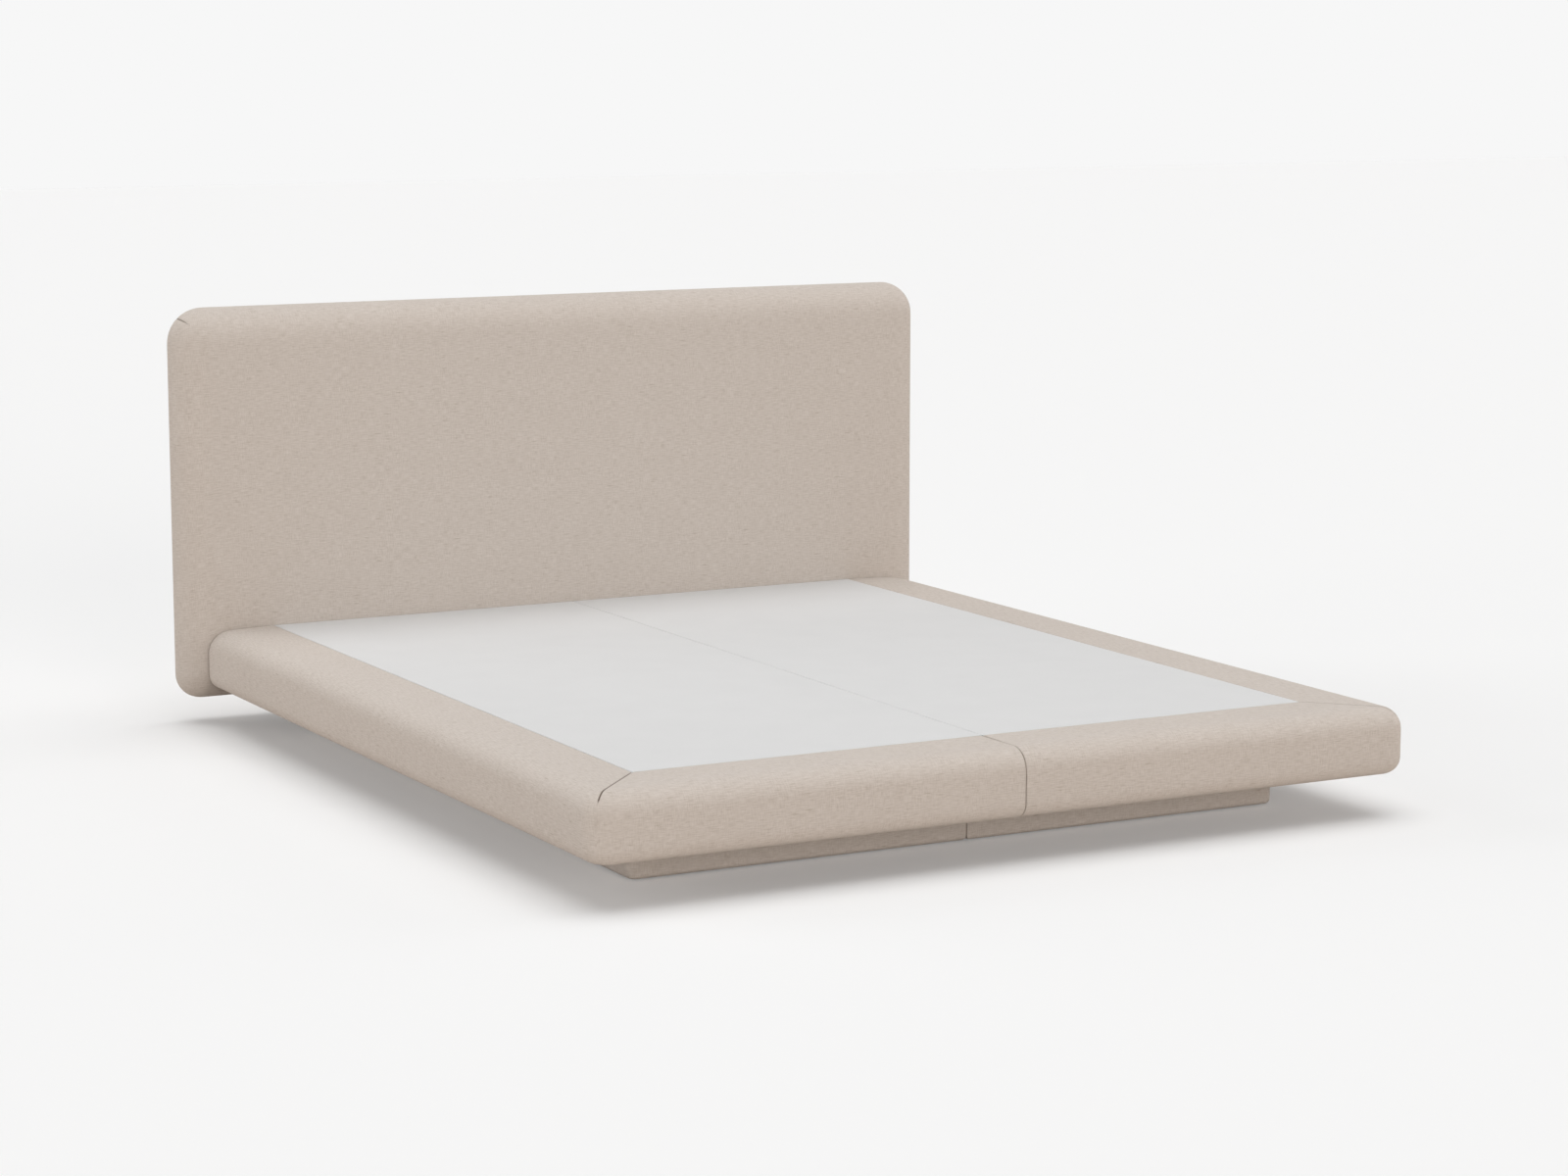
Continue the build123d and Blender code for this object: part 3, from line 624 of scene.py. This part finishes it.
# Columns of the cover's mesh, from the headboard down the side, round the corner and along the foot:
# where each stands on the outside, and how far from the deck's corner it meets the deck's edge
mesh_step = 26
dart_offsets = [0, 1.1, 2.2, 4]
fan_shares = [0.12, 0.28, 0.46, 0.64, 0.82, 1]
head_ys = head_end - np.array([0, 5, 12, 22, 35, 52])
side_ys = np.concatenate([head_ys, spaced(rim_high[1] - 75, corner_middle[1], mesh_step)])
foot_xs = spaced(corner_middle[0], split_end, mesh_step)
deck_side_length = head_end - deck_edge[1]
deck_foot_length = deck_edge[0] - split_end
fan_start = 24
dart_width = dart_offsets[-1]
dart_edge = dart_width * 2**0.5


def fan_column(part, share, offset):
    """A column of the corner, by its share of the way from the dart and its distance beside it."""
    edge = dart_edge + share * (fan_start - dart_edge) if share else offset * 2**0.5
    return {"part": part, "share": share, "offset": offset, "edge": edge}


columns = []
for y in side_ys[:-1]:
    share = (y - corner_middle[1]) / (side_ys[0] - corner_middle[1])
    columns.append({"part": "side", "at": y, "edge": fan_start + share * (deck_side_length - fan_start)})
columns += [fan_column("side fan", share, dart_width) for share in reversed(fan_shares)]
columns += [fan_column("side fan", 0, offset) for offset in reversed(dart_offsets)]
columns += [fan_column("foot fan", 0, offset) for offset in dart_offsets[1:]]
columns += [fan_column("foot fan", share, dart_width) for share in fan_shares]
for x in foot_xs[1:]:
    share = (corner_middle[0] - x) / (corner_middle[0] - foot_xs[-1])
    columns.append({"part": "foot", "at": x, "edge": fan_start + share * (deck_foot_length - fan_start)})

# Rows of the section, from the deck's edge over the rim and under it: what each is measured from,
# how far in from there, its height, and which way it faces (outwards, up)
section = [("deck", 0, board_top, (-1, 0)), ("deck", 0, (board_top + rim_high[2]) / 2, (-1, 0))]
tuck_angles, top_angles, bottom_angles = [0, 30, 60, 90], np.linspace(90, 0, 11), np.linspace(0, 90, 9)
for degrees, (inset, drop) in zip(tuck_angles, rounded(tuck_rounding, tuck_angles)):
    angle = math.radians(degrees)
    section.append(("deck", inset, rim_high[2] - drop, (-math.cos(angle), math.sin(angle))))
section += [("flat", share, rim_high[2], (0, 1)) for share in (0.12, 0.3, 0.5, 0.7, 0.88)]
for degrees, (inset, drop) in zip(top_angles, rounded(rim_top, top_angles)):
    angle = math.radians(degrees)
    section.append(("outer", inset, rim_high[2] - drop, (math.cos(angle), math.sin(angle))))
face_low = 143
section += [("outer", 0, z, (1, 0)) for z in (175, 159, face_low)]
for degrees, (inset, rise) in zip(bottom_angles, rounded(rim_bottom, bottom_angles)):
    angle = math.radians(degrees)
    section.append(("outer", inset, rim_low[2] + rise, (math.cos(angle), -math.sin(angle))))
section += [("under", share, rim_low[2], (0, -1)) for share in (0.15, 0.45, 0.75, 1)]


def section_point(column, inset):
    """Where a column stands in plan at a distance in from the outer face, and its way out."""
    if column["part"] == "side":
        return np.array([rim_high[0] - inset, column["at"]]), np.array([1.0, 0.0])
    if column["part"] == "foot":
        return np.array([column["at"], rim_low[1] + inset]), np.array([0.0, -1.0])
    radius = rim_corner - inset
    spread = math.asin(column["offset"] / max(radius, column["offset"] + 0.1))
    from_dart = spread + column["share"] * (math.pi / 4 - spread)
    angle = math.pi / 4 + (from_dart if column["part"] == "side fan" else -from_dart)
    way = np.array([math.sin(angle), -math.cos(angle)])
    return corner_middle + way * radius, way


grid = np.zeros((len(section), len(columns), 3))
ways = np.zeros((len(section), len(columns), 3))
chart = np.zeros((len(section), len(columns), 2))
seam_shade = np.zeros((len(section), len(columns)))
corner_start = side_ys[0] - corner_middle[1]
corner_end = corner_start + rim_corner * math.pi / 2
for j, column in enumerate(columns):
    on_side = column["part"].startswith("side")
    flat_start, flat_way = section_point(column, rim_top)
    under_start, under_way = section_point(column, rim_bottom)
    if on_side:
        share = column["edge"] / deck_side_length
        inner = underside_edge + np.array([0, share * (head_end - underside_edge[1])])
    else:
        share = column["edge"] / deck_foot_length
        inner = underside_edge - np.array([share * (underside_edge[0] - split_end), 0])
    for i, (kind, measure, z, facing) in enumerate(section):
        out = measure if kind == "deck" else tuck_rounding
        if on_side:
            at_deck = deck_edge + np.array([out, -out + column["edge"]])
            at_deck[1] = min(at_deck[1], head_end)
        else:
            at_deck = deck_edge + np.array([out - column["edge"], -out])
            at_deck[0] = max(at_deck[0], split_end)
        if kind == "deck":
            place, way = at_deck, np.array([1.0, 0.0] if on_side else [0.0, -1.0])
        elif kind == "flat":
            place, way = at_deck + (flat_start - at_deck) * measure, flat_way
        elif kind == "outer":
            place, way = section_point(column, measure)
        else:
            place, way = under_start + (inner - under_start) * measure, under_way
        grid[i, j] = [*place, z]
        ways[i, j] = [*(way * facing[0]), facing[1]]
        # the place on the flat cloth: along the rim, and across it from the deck's edge. Round the
        # corner it turns from straight lengths on the top to lengths round the bend on the side
        if kind in ("deck", "flat"):
            bent = 0
        elif kind == "outer" and z > rim_high[2] - rim_top:
            bent = 1 - measure / rim_top
        else:
            bent = 1
        if on_side:
            level = corner_start + (corner_middle[1] - place[1])
            across_cloth = place[0] - deck_edge[0]
        else:
            level = corner_end - (place[0] - corner_middle[0])
            across_cloth = deck_edge[1] - place[1]
        if column["part"].endswith("fan"):
            from_end = math.pi / 4 * (1 - column["share"])
            polar = corner_start + rim_corner * from_end if on_side else corner_end - rim_corner * from_end
            level = level * (1 - bent) + polar * bent
        if kind in ("outer", "under") and section[i - 1][0] in ("outer", "under"):
            across_cloth = chart[i - 1, j, 1] + np.linalg.norm(grid[i, j] - grid[i - 1, j])
        chart[i, j] = [level, across_cloth]

# At the headboard the cover is pulled tight round the end of the foam. Over the last of the rim this
# rounds it more, and lowers its outer edge.
pull_length, pull_bend, more_rounding, lowered = 70, 1.6, 8, 4
for j, column in enumerate(columns):
    if column["part"] == "side":
        pull = np.clip(1 - (rim_high[1] - column["at"]) / pull_length, 0, 1) ** pull_bend
        for i, (kind, measure, z, facing) in enumerate(section):
            if kind == "flat":
                grid[i, j] -= pull * np.array([more_rounding * measure, 0, lowered * measure**2])
            elif kind == "outer" and z > rim_high[2] - rim_top - 1:
                inwards, down = more_rounding * (1 - facing[0]), more_rounding * (1 - facing[1])
                grid[i, j] -= pull * np.array([inwards, 0, lowered + down])
            elif kind == "outer" and z > face_low:
                grid[i, j, 2] -= pull * (z - face_low) / 3

# The dart: a groove from the deck's corner to half way down the top rounding, and a trace below it. Along it the cloth
# is darkened with painted shade that stands in for the shadow in the groove. Both fade with the share of the rounding
# passed, and on either side with the distance from the dart.
dart_fade = ([0, 0.5, 0.56, 0.7], [1, 1, 0.2, 0])
dart_depth = {0: 2.4, 1.1: 1.3, 2.2: 0.4, 4: 0}
dart_painted_shade = {0: 1.0, 1.1: 0.75, 2.2: 0.08, 4: 0}
for i, (kind, measure, z, facing) in enumerate(section):
    if kind in ("deck", "flat"):
        strength = 0.75 if kind == "flat" else 0.5
    elif z > rim_high[2] - rim_top:
        down = math.degrees(math.acos(min(1, (z - rim_high[2] + rim_top) / rim_top))) / 90
        strength = np.interp(down, *dart_fade)
    else:
        strength = 0
    for j, column in enumerate(columns):
        if column.get("share") == 0:
            grid[i, j] -= ways[i, j] * dart_depth[column["offset"]] * strength
            seam_shade[i, j] = dart_painted_shade[column["offset"]] * strength

# Ends: the cover turns in at the split and against the headboard
turn = np.radians([30, 60, 90])
head_turn, split_turn = [], []
for angle in turn:
    head_in, split_in = head_rounding * (1 - math.cos(angle)), split_rounding * (1 - math.cos(angle))
    head_turn.insert(0, grid[:, 0] - ways[:, 0] * head_in + np.array([0, head_rounding * math.sin(angle), 0]))
    split_turn.append(grid[:, -1] - ways[:, -1] * split_in - np.array([split_rounding * math.sin(angle), 0, 0]))
cover_points = np.stack([*head_turn, *np.moveaxis(grid, 1, 0), *split_turn], 1)
head_chart = [chart[:, 0] - np.array([head_rounding * a, 0]) for a in turn[::-1]]
split_chart = [chart[:, -1] + np.array([split_rounding * a, 0]) for a in turn]
cover_chart = np.stack([*head_chart, *np.moveaxis(chart, 1, 0), *split_chart], 1)
cover_seam_shade = np.pad(seam_shade, ((0, 0), (len(turn), len(turn))))


# Closed ends in the planes of the split and the headboard, and the strip under the head rail. The
# cloth against the headboard has a window for the keyhole plate.
def flat_patch(corner, first, second):
    """A flat piece of cloth on a corner, along two edges."""
    corner, first, second = (np.array(v, float) for v in (corner, first, second))
    a_marks, b_marks = spaced(0, 1, 0.1), spaced(0, 1, 0.2)
    points = corner + a_marks[None, :, None] * first + b_marks[:, None, None] * second
    lengths = a_marks[None, :] * np.linalg.norm(first), b_marks[:, None] * np.linalg.norm(second)
    return unsewn(points, np.stack(np.broadcast_arrays(*lengths), 2))


def closed_end(outline):
    """Cloth that closes an end of the cover, from its outline to a straight line across."""
    share = np.linspace(0, 1, len(outline))[:, None]
    closing = outline[0] * (1 - share) + outline[-1] * share
    return np.stack([outline, (outline * 2 + closing) / 3, (outline + closing * 2) / 3, closing], 1)


head_patch, split_patch = closed_end(cover_points[:, 0])[:, ::-1], closed_end(cover_points[:, -1])
cover_strips = [(cover_points, cover_chart, cover_seam_shade)]
cover_strips += [unsewn(head_patch, head_patch[:, :, [0, 2]]), unsewn(split_patch, split_patch[:, :, [1, 2]])]
head_y = rim_high[1]
plate_low, plate_high = in_mm(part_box("keyhole_plates"))
plate_gap = 0.1
plate_half_width = (plate_high[2] - plate_low[2]) / 2
plate_x = plate_high[0] - plate_half_width
left_x = rim_low[0]
panel_width = underside_edge[0] - left_x
panel_height = board_top - rim_low[2]
window_half = plate_half_width + plate_gap
window_x = np.array([plate_x - window_half - left_x, plate_x + window_half - left_x]) / panel_width
window_z = np.array([plate_low[2] - plate_gap - rim_low[2], plate_high[2] + plate_gap - rim_low[2]]) / panel_height
a_marks = np.array([0, 0.15, 0.3, 0.45, *window_x, 0.8, 1])
b_marks = np.array([0, *window_z, 1])
for low_b, high_b, skip in ((0, b_marks[1], False), (b_marks[1], b_marks[2], True), (b_marks[2], 1, False)):
    for low_a, high_a in zip(a_marks[:-1], a_marks[1:]):
        if skip and abs(low_a - window_x[0]) < 1e-9:
            continue
        cover_strips.append(
            flat_patch(
                (left_x + high_a * panel_width, head_y, rim_low[2] + low_b * panel_height),
                ((low_a - high_a) * panel_width, 0, 0),
                (0, 0, (high_b - low_b) * panel_height),
            )
        )
under_rail = flat_patch((left_x, underside_head, rim_low[2]), (panel_width, 0, 0), (0, head_y - underside_head, 0))
cover_strips.append(under_rail)


def tucked_or_stapled(spots):
    """Where the cover is held: under the base, in the tuck at the deck, and at both ends."""
    x = np.abs(spots[:, 0])
    stapled = spots[:, 2] < rim_low[2] + 4
    tucked = (x < deck_edge[0] + 3) & (spots[:, 1] > deck_edge[1] - 3)
    turned_in = (x < split_end + 1) | (spots[:, 1] > head_end - 1)
    return stapled | tucked | turned_in


for side in sides:
    cover = sew(f"rim_upholstery_{side}", cover_strips if side == "right" else mirrored(cover_strips))
    cover.data.materials.append(linen)
    settle(cover, tucked_or_stapled, 3)
    thicken(cover, cloth_thickness)
    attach(cover, "bed")
    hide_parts(f"rim_cover_{side}", f"side_foam_{side}", f"foot_foam_{side}")


# ---------------------------------------------------------------------------------------------
# Deck pads: 21 mm felt-covered pads that the mattress lies on, flush with the rim.
# Light-grey needled polyester, glued down on each half, with a hairline gap all round.

felt, tree, output = new_material("needled_polyester_felt")
place = add_node(tree, "ShaderNodeTexCoord")
# Tufts of about 1.4 mm, with a lay that changes slowly over the pad. Both are barely seen.
fibres = add_node(
    tree,
    "ShaderNodeTexNoise",
    {},
    {"Vector": place.outputs["Object"], "Scale": grain_scale(1.4), "Detail": 4, "Roughness": 0.7},
)
lay = add_node(
    tree, "ShaderNodeTexNoise", {}, {"Vector": place.outputs["Object"], "Scale": grain_scale(110), "Detail": 2}
)
tone = add_node(
    tree, "ShaderNodeMath", {"operation": "MULTIPLY_ADD"}, {0: lay.outputs["Fac"], 1: 0.25, 2: fibres.outputs["Fac"]}
)
tint = add_node(tree, "ShaderNodeValToRGB", {}, {"Fac": tone.outputs[0]})
shade_stops(tint, [(0.35, "#d3d3d3"), (0.9, "#dcdcdc")])
bump = add_node(tree, "ShaderNodeBump", {}, {"Strength": 0.2, "Distance": 0.2 * mm, "Height": fibres.outputs["Fac"]})
felt_shader = add_node(
    tree,
    "ShaderNodeBsdfPrincipled",
    {},
    {"Base Color": tint.outputs[0], "Roughness": 0.85, "Specular IOR Level": 0.25, "Normal": bump.outputs[0]},
)
tree.links.new(felt_shader.outputs[0], output.inputs["Surface"])

pad_rounding, under_rounding = 2.2, 0.8
pad_arcs = [0, 45, 90]
across, up = spaced(0, 1, 0.04), spaced(0, 1, 0.02)
# how far in each row of the pad's edge is, and its height: from its underside up to its top
rows = [(pad_rounding, deck_low[2])]
rows += [(inset, deck_low[2] + rise) for inset, rise in rounded(under_rounding, [90, 60, 30, 0])]
rows += [(inset, deck_high[2] - drop) for inset, drop in rounded(pad_rounding, [0, 22, 45, 68, 90])]
pad_points, pad_chart = [], []
for inset, z in rows:
    radius = max(pad_rounding - inset, 0)
    points, facing = ring(deck_low[:2], deck_high[:2], inset, [radius] * 4, across, up, pad_arcs)
    pad_points.append(lying(points, z))
    pad_chart.append(points + facing * (deck_high[2] - z))


def face_grid(low, high, inset, across, up):
    """The flat field inside a ring, as plan points."""
    xs = low[0] + inset + (high[0] - low[0] - 2 * inset) * across
    ys = low[1] + inset + (high[1] - low[1] - 2 * inset) * up
    return np.stack(np.meshgrid(xs, ys, indexing="xy"), 2)


field = face_grid(deck_low, deck_high, pad_rounding, across, up)
under_field = field[:, ::-1]
pad_strips = [
    unsewn(np.array(pad_points), np.array(pad_chart)),
    unsewn(lying(field, deck_high[2]), field),
    unsewn(lying(under_field, deck_low[2]), under_field),
]
for side in sides:
    pad = sew(f"deck_padding_{side}", pad_strips if side == "right" else mirrored(pad_strips))
    pad.data.materials.append(felt)
    thicken(pad, None)
    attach(pad, "bed")
    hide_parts(f"deck_pad_{side}")


# ---------------------------------------------------------------------------------------------
# Headboard cover: linen drawn over foam and round to the back of the frame, where it is stapled.
# The foam fills it out a little in front, and a short dart at each top corner takes up its fullness.

head_low, head_high = in_mm(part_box("headboard_cover"))
# how deep the roundings to the front and to the back are
head_front, head_back = 84, 42
# corner radii at the top right, top left, bottom left and bottom right, unequal because the cover is
# drawn tight by hand
head_corners = np.array([80, 87, 59, 59])
least_corner = 14
back_lap = 60
low, high = head_low[[0, 2]], head_high[[0, 2]]
spacer_low, spacer_high = in_mm(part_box("headboard_spacers"))
spacer_gap = 0.3
spacer_half = (spacer_high[2] - spacer_low[2]) / 2
spacer_x, spacer_z = spacer_high[0] - spacer_half, spacer_high[2] - spacer_half
hole_half = spacer_half + spacer_gap
field_low, field_size = low + head_front, high - low - 2 * head_front


def marks_with(size, low, stops, step):
    """Shares of a run with marks at given places."""
    places = np.unique(np.round([low, *stops, low + size], 6))
    run = [spaced(a, b, step) for a, b in zip(places[:-1], places[1:])]
    return (np.unique(np.round(np.concatenate(run), 6)) - low) / size


hole_xs = [-spacer_x - hole_half, -spacer_x + hole_half, spacer_x - hole_half, spacer_x + hole_half]
hole_zs = [spacer_z - hole_half, spacer_z + hole_half]
across = marks_with(field_size[0], field_low[0], hole_xs, mesh_step)
up = marks_with(field_size[1], field_low[1], hole_zs, mesh_step)
# angles of the points on each corner, closer together at its dart, which lies at 45 degrees
dart_angles = {offset: math.degrees(math.asin(offset / head_corners[0])) for offset in dart_offsets}
half_arc = [0, 8, 16, 24, 31, 37] + [45 - dart_angles[offset] for offset in reversed(dart_offsets[1:])]
head_arcs = np.array(half_arc + [45] + [90 - a for a in reversed(half_arc)])
# how far in each ring of the cover is, and where along Y: the lap on the back, then round to the front
lap_rows = [(back_lap, head_high[1]), (51, head_high[1])]
back_rows = [(inset, head_high[1] - step) for inset, step in rounded(head_back, np.linspace(90, 0, 9))]
front_rows = [(inset, head_low[1] + step) for inset, step in rounded(head_front, np.linspace(0, 90, 17))]
behind = len(lap_rows + back_rows)
rows = lap_rows + back_rows + front_rows
travel = [0]
for a, b in zip(reversed(rows[:-1]), reversed(rows[1:])):
    travel.append(travel[-1] + math.hypot(a[0] - b[0], a[1] - b[1]))
travel = travel[::-1]
# the darts end where the cover has come in by a share of the front rounding, and are a little shallower than the rim's,
# with fainter painted shade in their grooves
dart_end, dart_fading = 0.2, 0.12
head_dart_depth, head_dart_shade = 0.8, 0.7


def upright(points, y):
    """Points of a front view, at a place along Y."""
    return np.stack([points[..., 0], np.full(points.shape[:-1], y), points[..., 1]], -1)


cover_rows, chart_rows, seam_shade_rows = [], [], []
inner_ring, _ = ring(low, high, head_front, [0] * 4, across, up, head_arcs)
for number, (inset, y) in enumerate(rows):
    if number < behind:
        radii = np.maximum(head_corners - inset, least_corner)
        strength = 1
    else:
        radii = head_corners * (1 - inset / head_front)
        strength = np.clip((dart_end - inset / head_front) / dart_fading, 0, 1)
    points, facing = ring(low, high, inset, radii, across, up, head_arcs)
    chart_rows.append(inner_ring + facing * travel[number])
    before, after = rows[max(number - 1, 0)], rows[min(number + 1, len(rows) - 1)]
    out = np.array([before[1] - after[1], after[0] - before[0]])
    out = out / np.linalg.norm(out)
    shade = np.zeros(len(points))
    spots = upright(points, y)
    for start in (0, len(head_arcs) + len(across) - 2):
        for step, angle in enumerate(head_arcs):
            for offset, dart_angle in dart_angles.items():
                if abs(abs(angle - 45) - dart_angle) < 1e-6:
                    index = start + step
                    way = np.array([facing[index, 0] * out[0], out[1], facing[index, 1] * out[0]])
                    spots[index] -= way * dart_depth[offset] * strength * head_dart_depth
                    shade[index] = dart_painted_shade[offset] * strength * head_dart_shade
    spots[-1] = spots[0]
    cover_rows.append(spots)
    seam_shade_rows.append(shade)
sides_strip = (np.array(cover_rows)[:, ::-1], np.array(chart_rows)[:, ::-1], np.array(seam_shade_rows)[:, ::-1])
field = face_grid(low, high, head_front, across, up)
front = upright(field, head_low[1])
off_x, off_z = np.abs(np.abs(field[..., 0]) - spacer_x), np.abs(field[..., 1] - spacer_z)
front[(off_x < hole_half - 0.01) & (off_z < hole_half - 0.01)] = np.nan
headboard = sew("headboard_upholstery", [sides_strip, unsewn(front, field)])
headboard.data.materials.append(linen)


def stapled_or_backed(spots):
    """Where the cover can't fill out: behind, against the base, and round the spacers."""
    x = np.abs(spots[:, 0])
    y, z = spots[:, 1], spots[:, 2]
    reach, margin = hole_half + 20, 8
    near_spacer = (np.abs(x - spacer_x) < reach) & (np.abs(z - spacer_z) < reach)
    level_with_base = (z < rim_high[2] + margin) & (z > rim_low[2] - margin)
    against_base = level_with_base & (x < rim_high[0] + margin) & (y < head_low[1] + 1)
    return (y > head_high[1] - head_back) | near_spacer | against_base


settle(headboard, stapled_or_backed, 4)
thicken(headboard, cloth_thickness)
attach(headboard, "bed")
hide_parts("headboard_cover", "headboard_foam")


# ---------------------------------------------------------------------------------------------
# Back of the headboard: a flat panel of the same linen, stretched over the back board and sewn
# by hand to the cover's turned edge.

back_low, back_high = in_mm(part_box("headboard_back_cover"))
low, high = back_low[[0, 2]], back_high[[0, 2]]
xs, zs = spaced(0, 1, 0.02), spaced(0, 1, 0.04)
# how far in each row of the sewn edge is, how deep it is drawn in, its corner, and the painted shade standing in for
# the shadow in its seam
edge_rows = [(0, 1.6, 0.2, 0.5), (0.3, 0.9, 0.2, 0.3), (1, 0.3, 0.2, 0), (2.5, 0, 0, 0)]
panel_rows, chart_rows, seam_shade_rows = [], [], []
for inset, fall, radius, shade in edge_rows:
    points, _ = ring(low, high, inset, [radius] * 4, xs, zs, [0, 45, 90])
    panel_rows.append(upright(points, back_high[1] - fall))
    chart_rows.append(points)
    seam_shade_rows.append(np.full(len(points), shade))
field = face_grid(low, high, edge_rows[-1][0], xs, zs)[:, ::-1]
back_edge = (np.array(panel_rows), np.array(chart_rows), np.array(seam_shade_rows))
back_panel = sew("headboard_back_panel", [back_edge, unsewn(upright(field, back_high[1]), field)])
back_panel.data.materials.append(linen)
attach(back_panel, "bed")
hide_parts("headboard_back_cover")


# ---------------------------------------------------------------------------------------------
# Studio: a pale paper floor that takes the bed's soft shadow, and a white surround. The light comes
# from overhead and, low down, from the foot, the left and the right, in sources so wide that no
# shadow has a hard edge.


def seen_directly(tree):
    """1 where a camera or glossy ray arrives, 0 for the light that lights the bed."""
    rays = add_node(tree, "ShaderNodeLightPath")
    kinds = {0: rays.outputs["Is Camera Ray"], 1: rays.outputs["Is Glossy Ray"]}
    return add_node(tree, "ShaderNodeMath", {"operation": "MAXIMUM"}, kinds)


paper, tree, output = new_material("studio_paper")
# Matt seamless paper: white to the eye, and a warm grey to the light that it throws back up. To the eye it also glows
# faintly all over, a painted light that lightens the bed's shadow on it.
seen = seen_directly(tree)
tint = add_node(
    tree, "ShaderNodeMixRGB", {}, {"Fac": seen.outputs[0], "Color1": linear("#d4cbc3"), "Color2": linear("#f6f6f6")}
)
surface = add_node(tree, "ShaderNodeBsdfDiffuse", {}, {"Color": tint.outputs[0]})
painted_glow = add_node(tree, "ShaderNodeEmission", {}, {"Color": linear("#f7f7f7"), "Strength": 1})
painted_glow_share = add_node(tree, "ShaderNodeMath", {"operation": "MULTIPLY"}, {0: seen.outputs[0], 1: 0.2})
both = add_node(
    tree, "ShaderNodeMixShader", {}, {0: painted_glow_share.outputs[0], 1: surface.outputs[0], 2: painted_glow.outputs[0]}
)
tree.links.new(both.outputs[0], output.inputs["Surface"])
bpy.ops.mesh.primitive_plane_add(size=60, location=(0, 0, 0))
floor = bpy.context.object
floor.name = "studio_floor"
floor.data.materials.append(paper)

world = bpy.data.worlds.new("studio_surround")
world.use_nodes = True
tree = world.node_tree
tree.nodes.clear()
seen = seen_directly(tree)
fill = add_node(tree, "ShaderNodeBackground", {}, {"Color": linear("#ffffff"), "Strength": 0.148})
backdrop = add_node(tree, "ShaderNodeBackground", {}, {"Color": linear("#f7f7f7"), "Strength": 1})
both = add_node(tree, "ShaderNodeMixShader", {}, {0: seen.outputs[0], 1: fill.outputs[0], 2: backdrop.outputs[0]})
add_node(tree, "ShaderNodeOutputWorld", {}, {"Surface": both.outputs[0]})
bpy.context.scene.world = world


def soft_light(name, bearing, height, width, share, colour="#ffffff"):
    """A far and very wide soft source: its bearing clockwise from the headboard's end, its height
    and its width in degrees, and its share of the light that a white card facing it would need."""
    lamp = bpy.data.lights.new(name, "SUN")
    lamp.angle = math.radians(width)
    lamp.energy = share * math.pi
    lamp.color = linear(colour)[:3]
    stand = bpy.data.objects.new(name, lamp)
    bpy.context.scene.collection.objects.link(stand)
    stand.rotation_euler = (math.radians(90 - height), 0, math.radians(180 - bearing))


soft_light("overhead", 0, 90, 60, 0.5)
soft_light("foot_low", 180, 8, 30, 0.449, "#fffaf5")
soft_light("left_low", 270, 8, 30, 0.198, "#fffdfa")
soft_light("left_behind", 315, 15, 40, 0.254)
soft_light("right_low", 90, 15, 40, 0.144)
soft_light("right_high", 90, 60, 40, 0.116)
soft_light("behind_high", 30, 55, 50, 0.064)

# The camera, as fitted to the photograph: it looks to the right of straight ahead and a little down
photo_width = 1600
focal_pixels = 3730.18
turned, dipped = math.radians(28.06), math.radians(8.75)
lens = bpy.data.cameras.new("camera")
lens.sensor_width = 36
lens.lens = lens.sensor_width * focal_pixels / photo_width
lens.clip_end = 100
camera = bpy.data.objects.new("camera", lens)
bpy.context.scene.collection.objects.link(camera)
camera.location = (-3.8373, -7.3120, 1.6809)
camera.rotation_euler = (math.pi / 2 - dipped, 0, -turned)
bpy.context.scene.camera = camera
bpy.context.scene.view_settings.view_transform = "Standard"
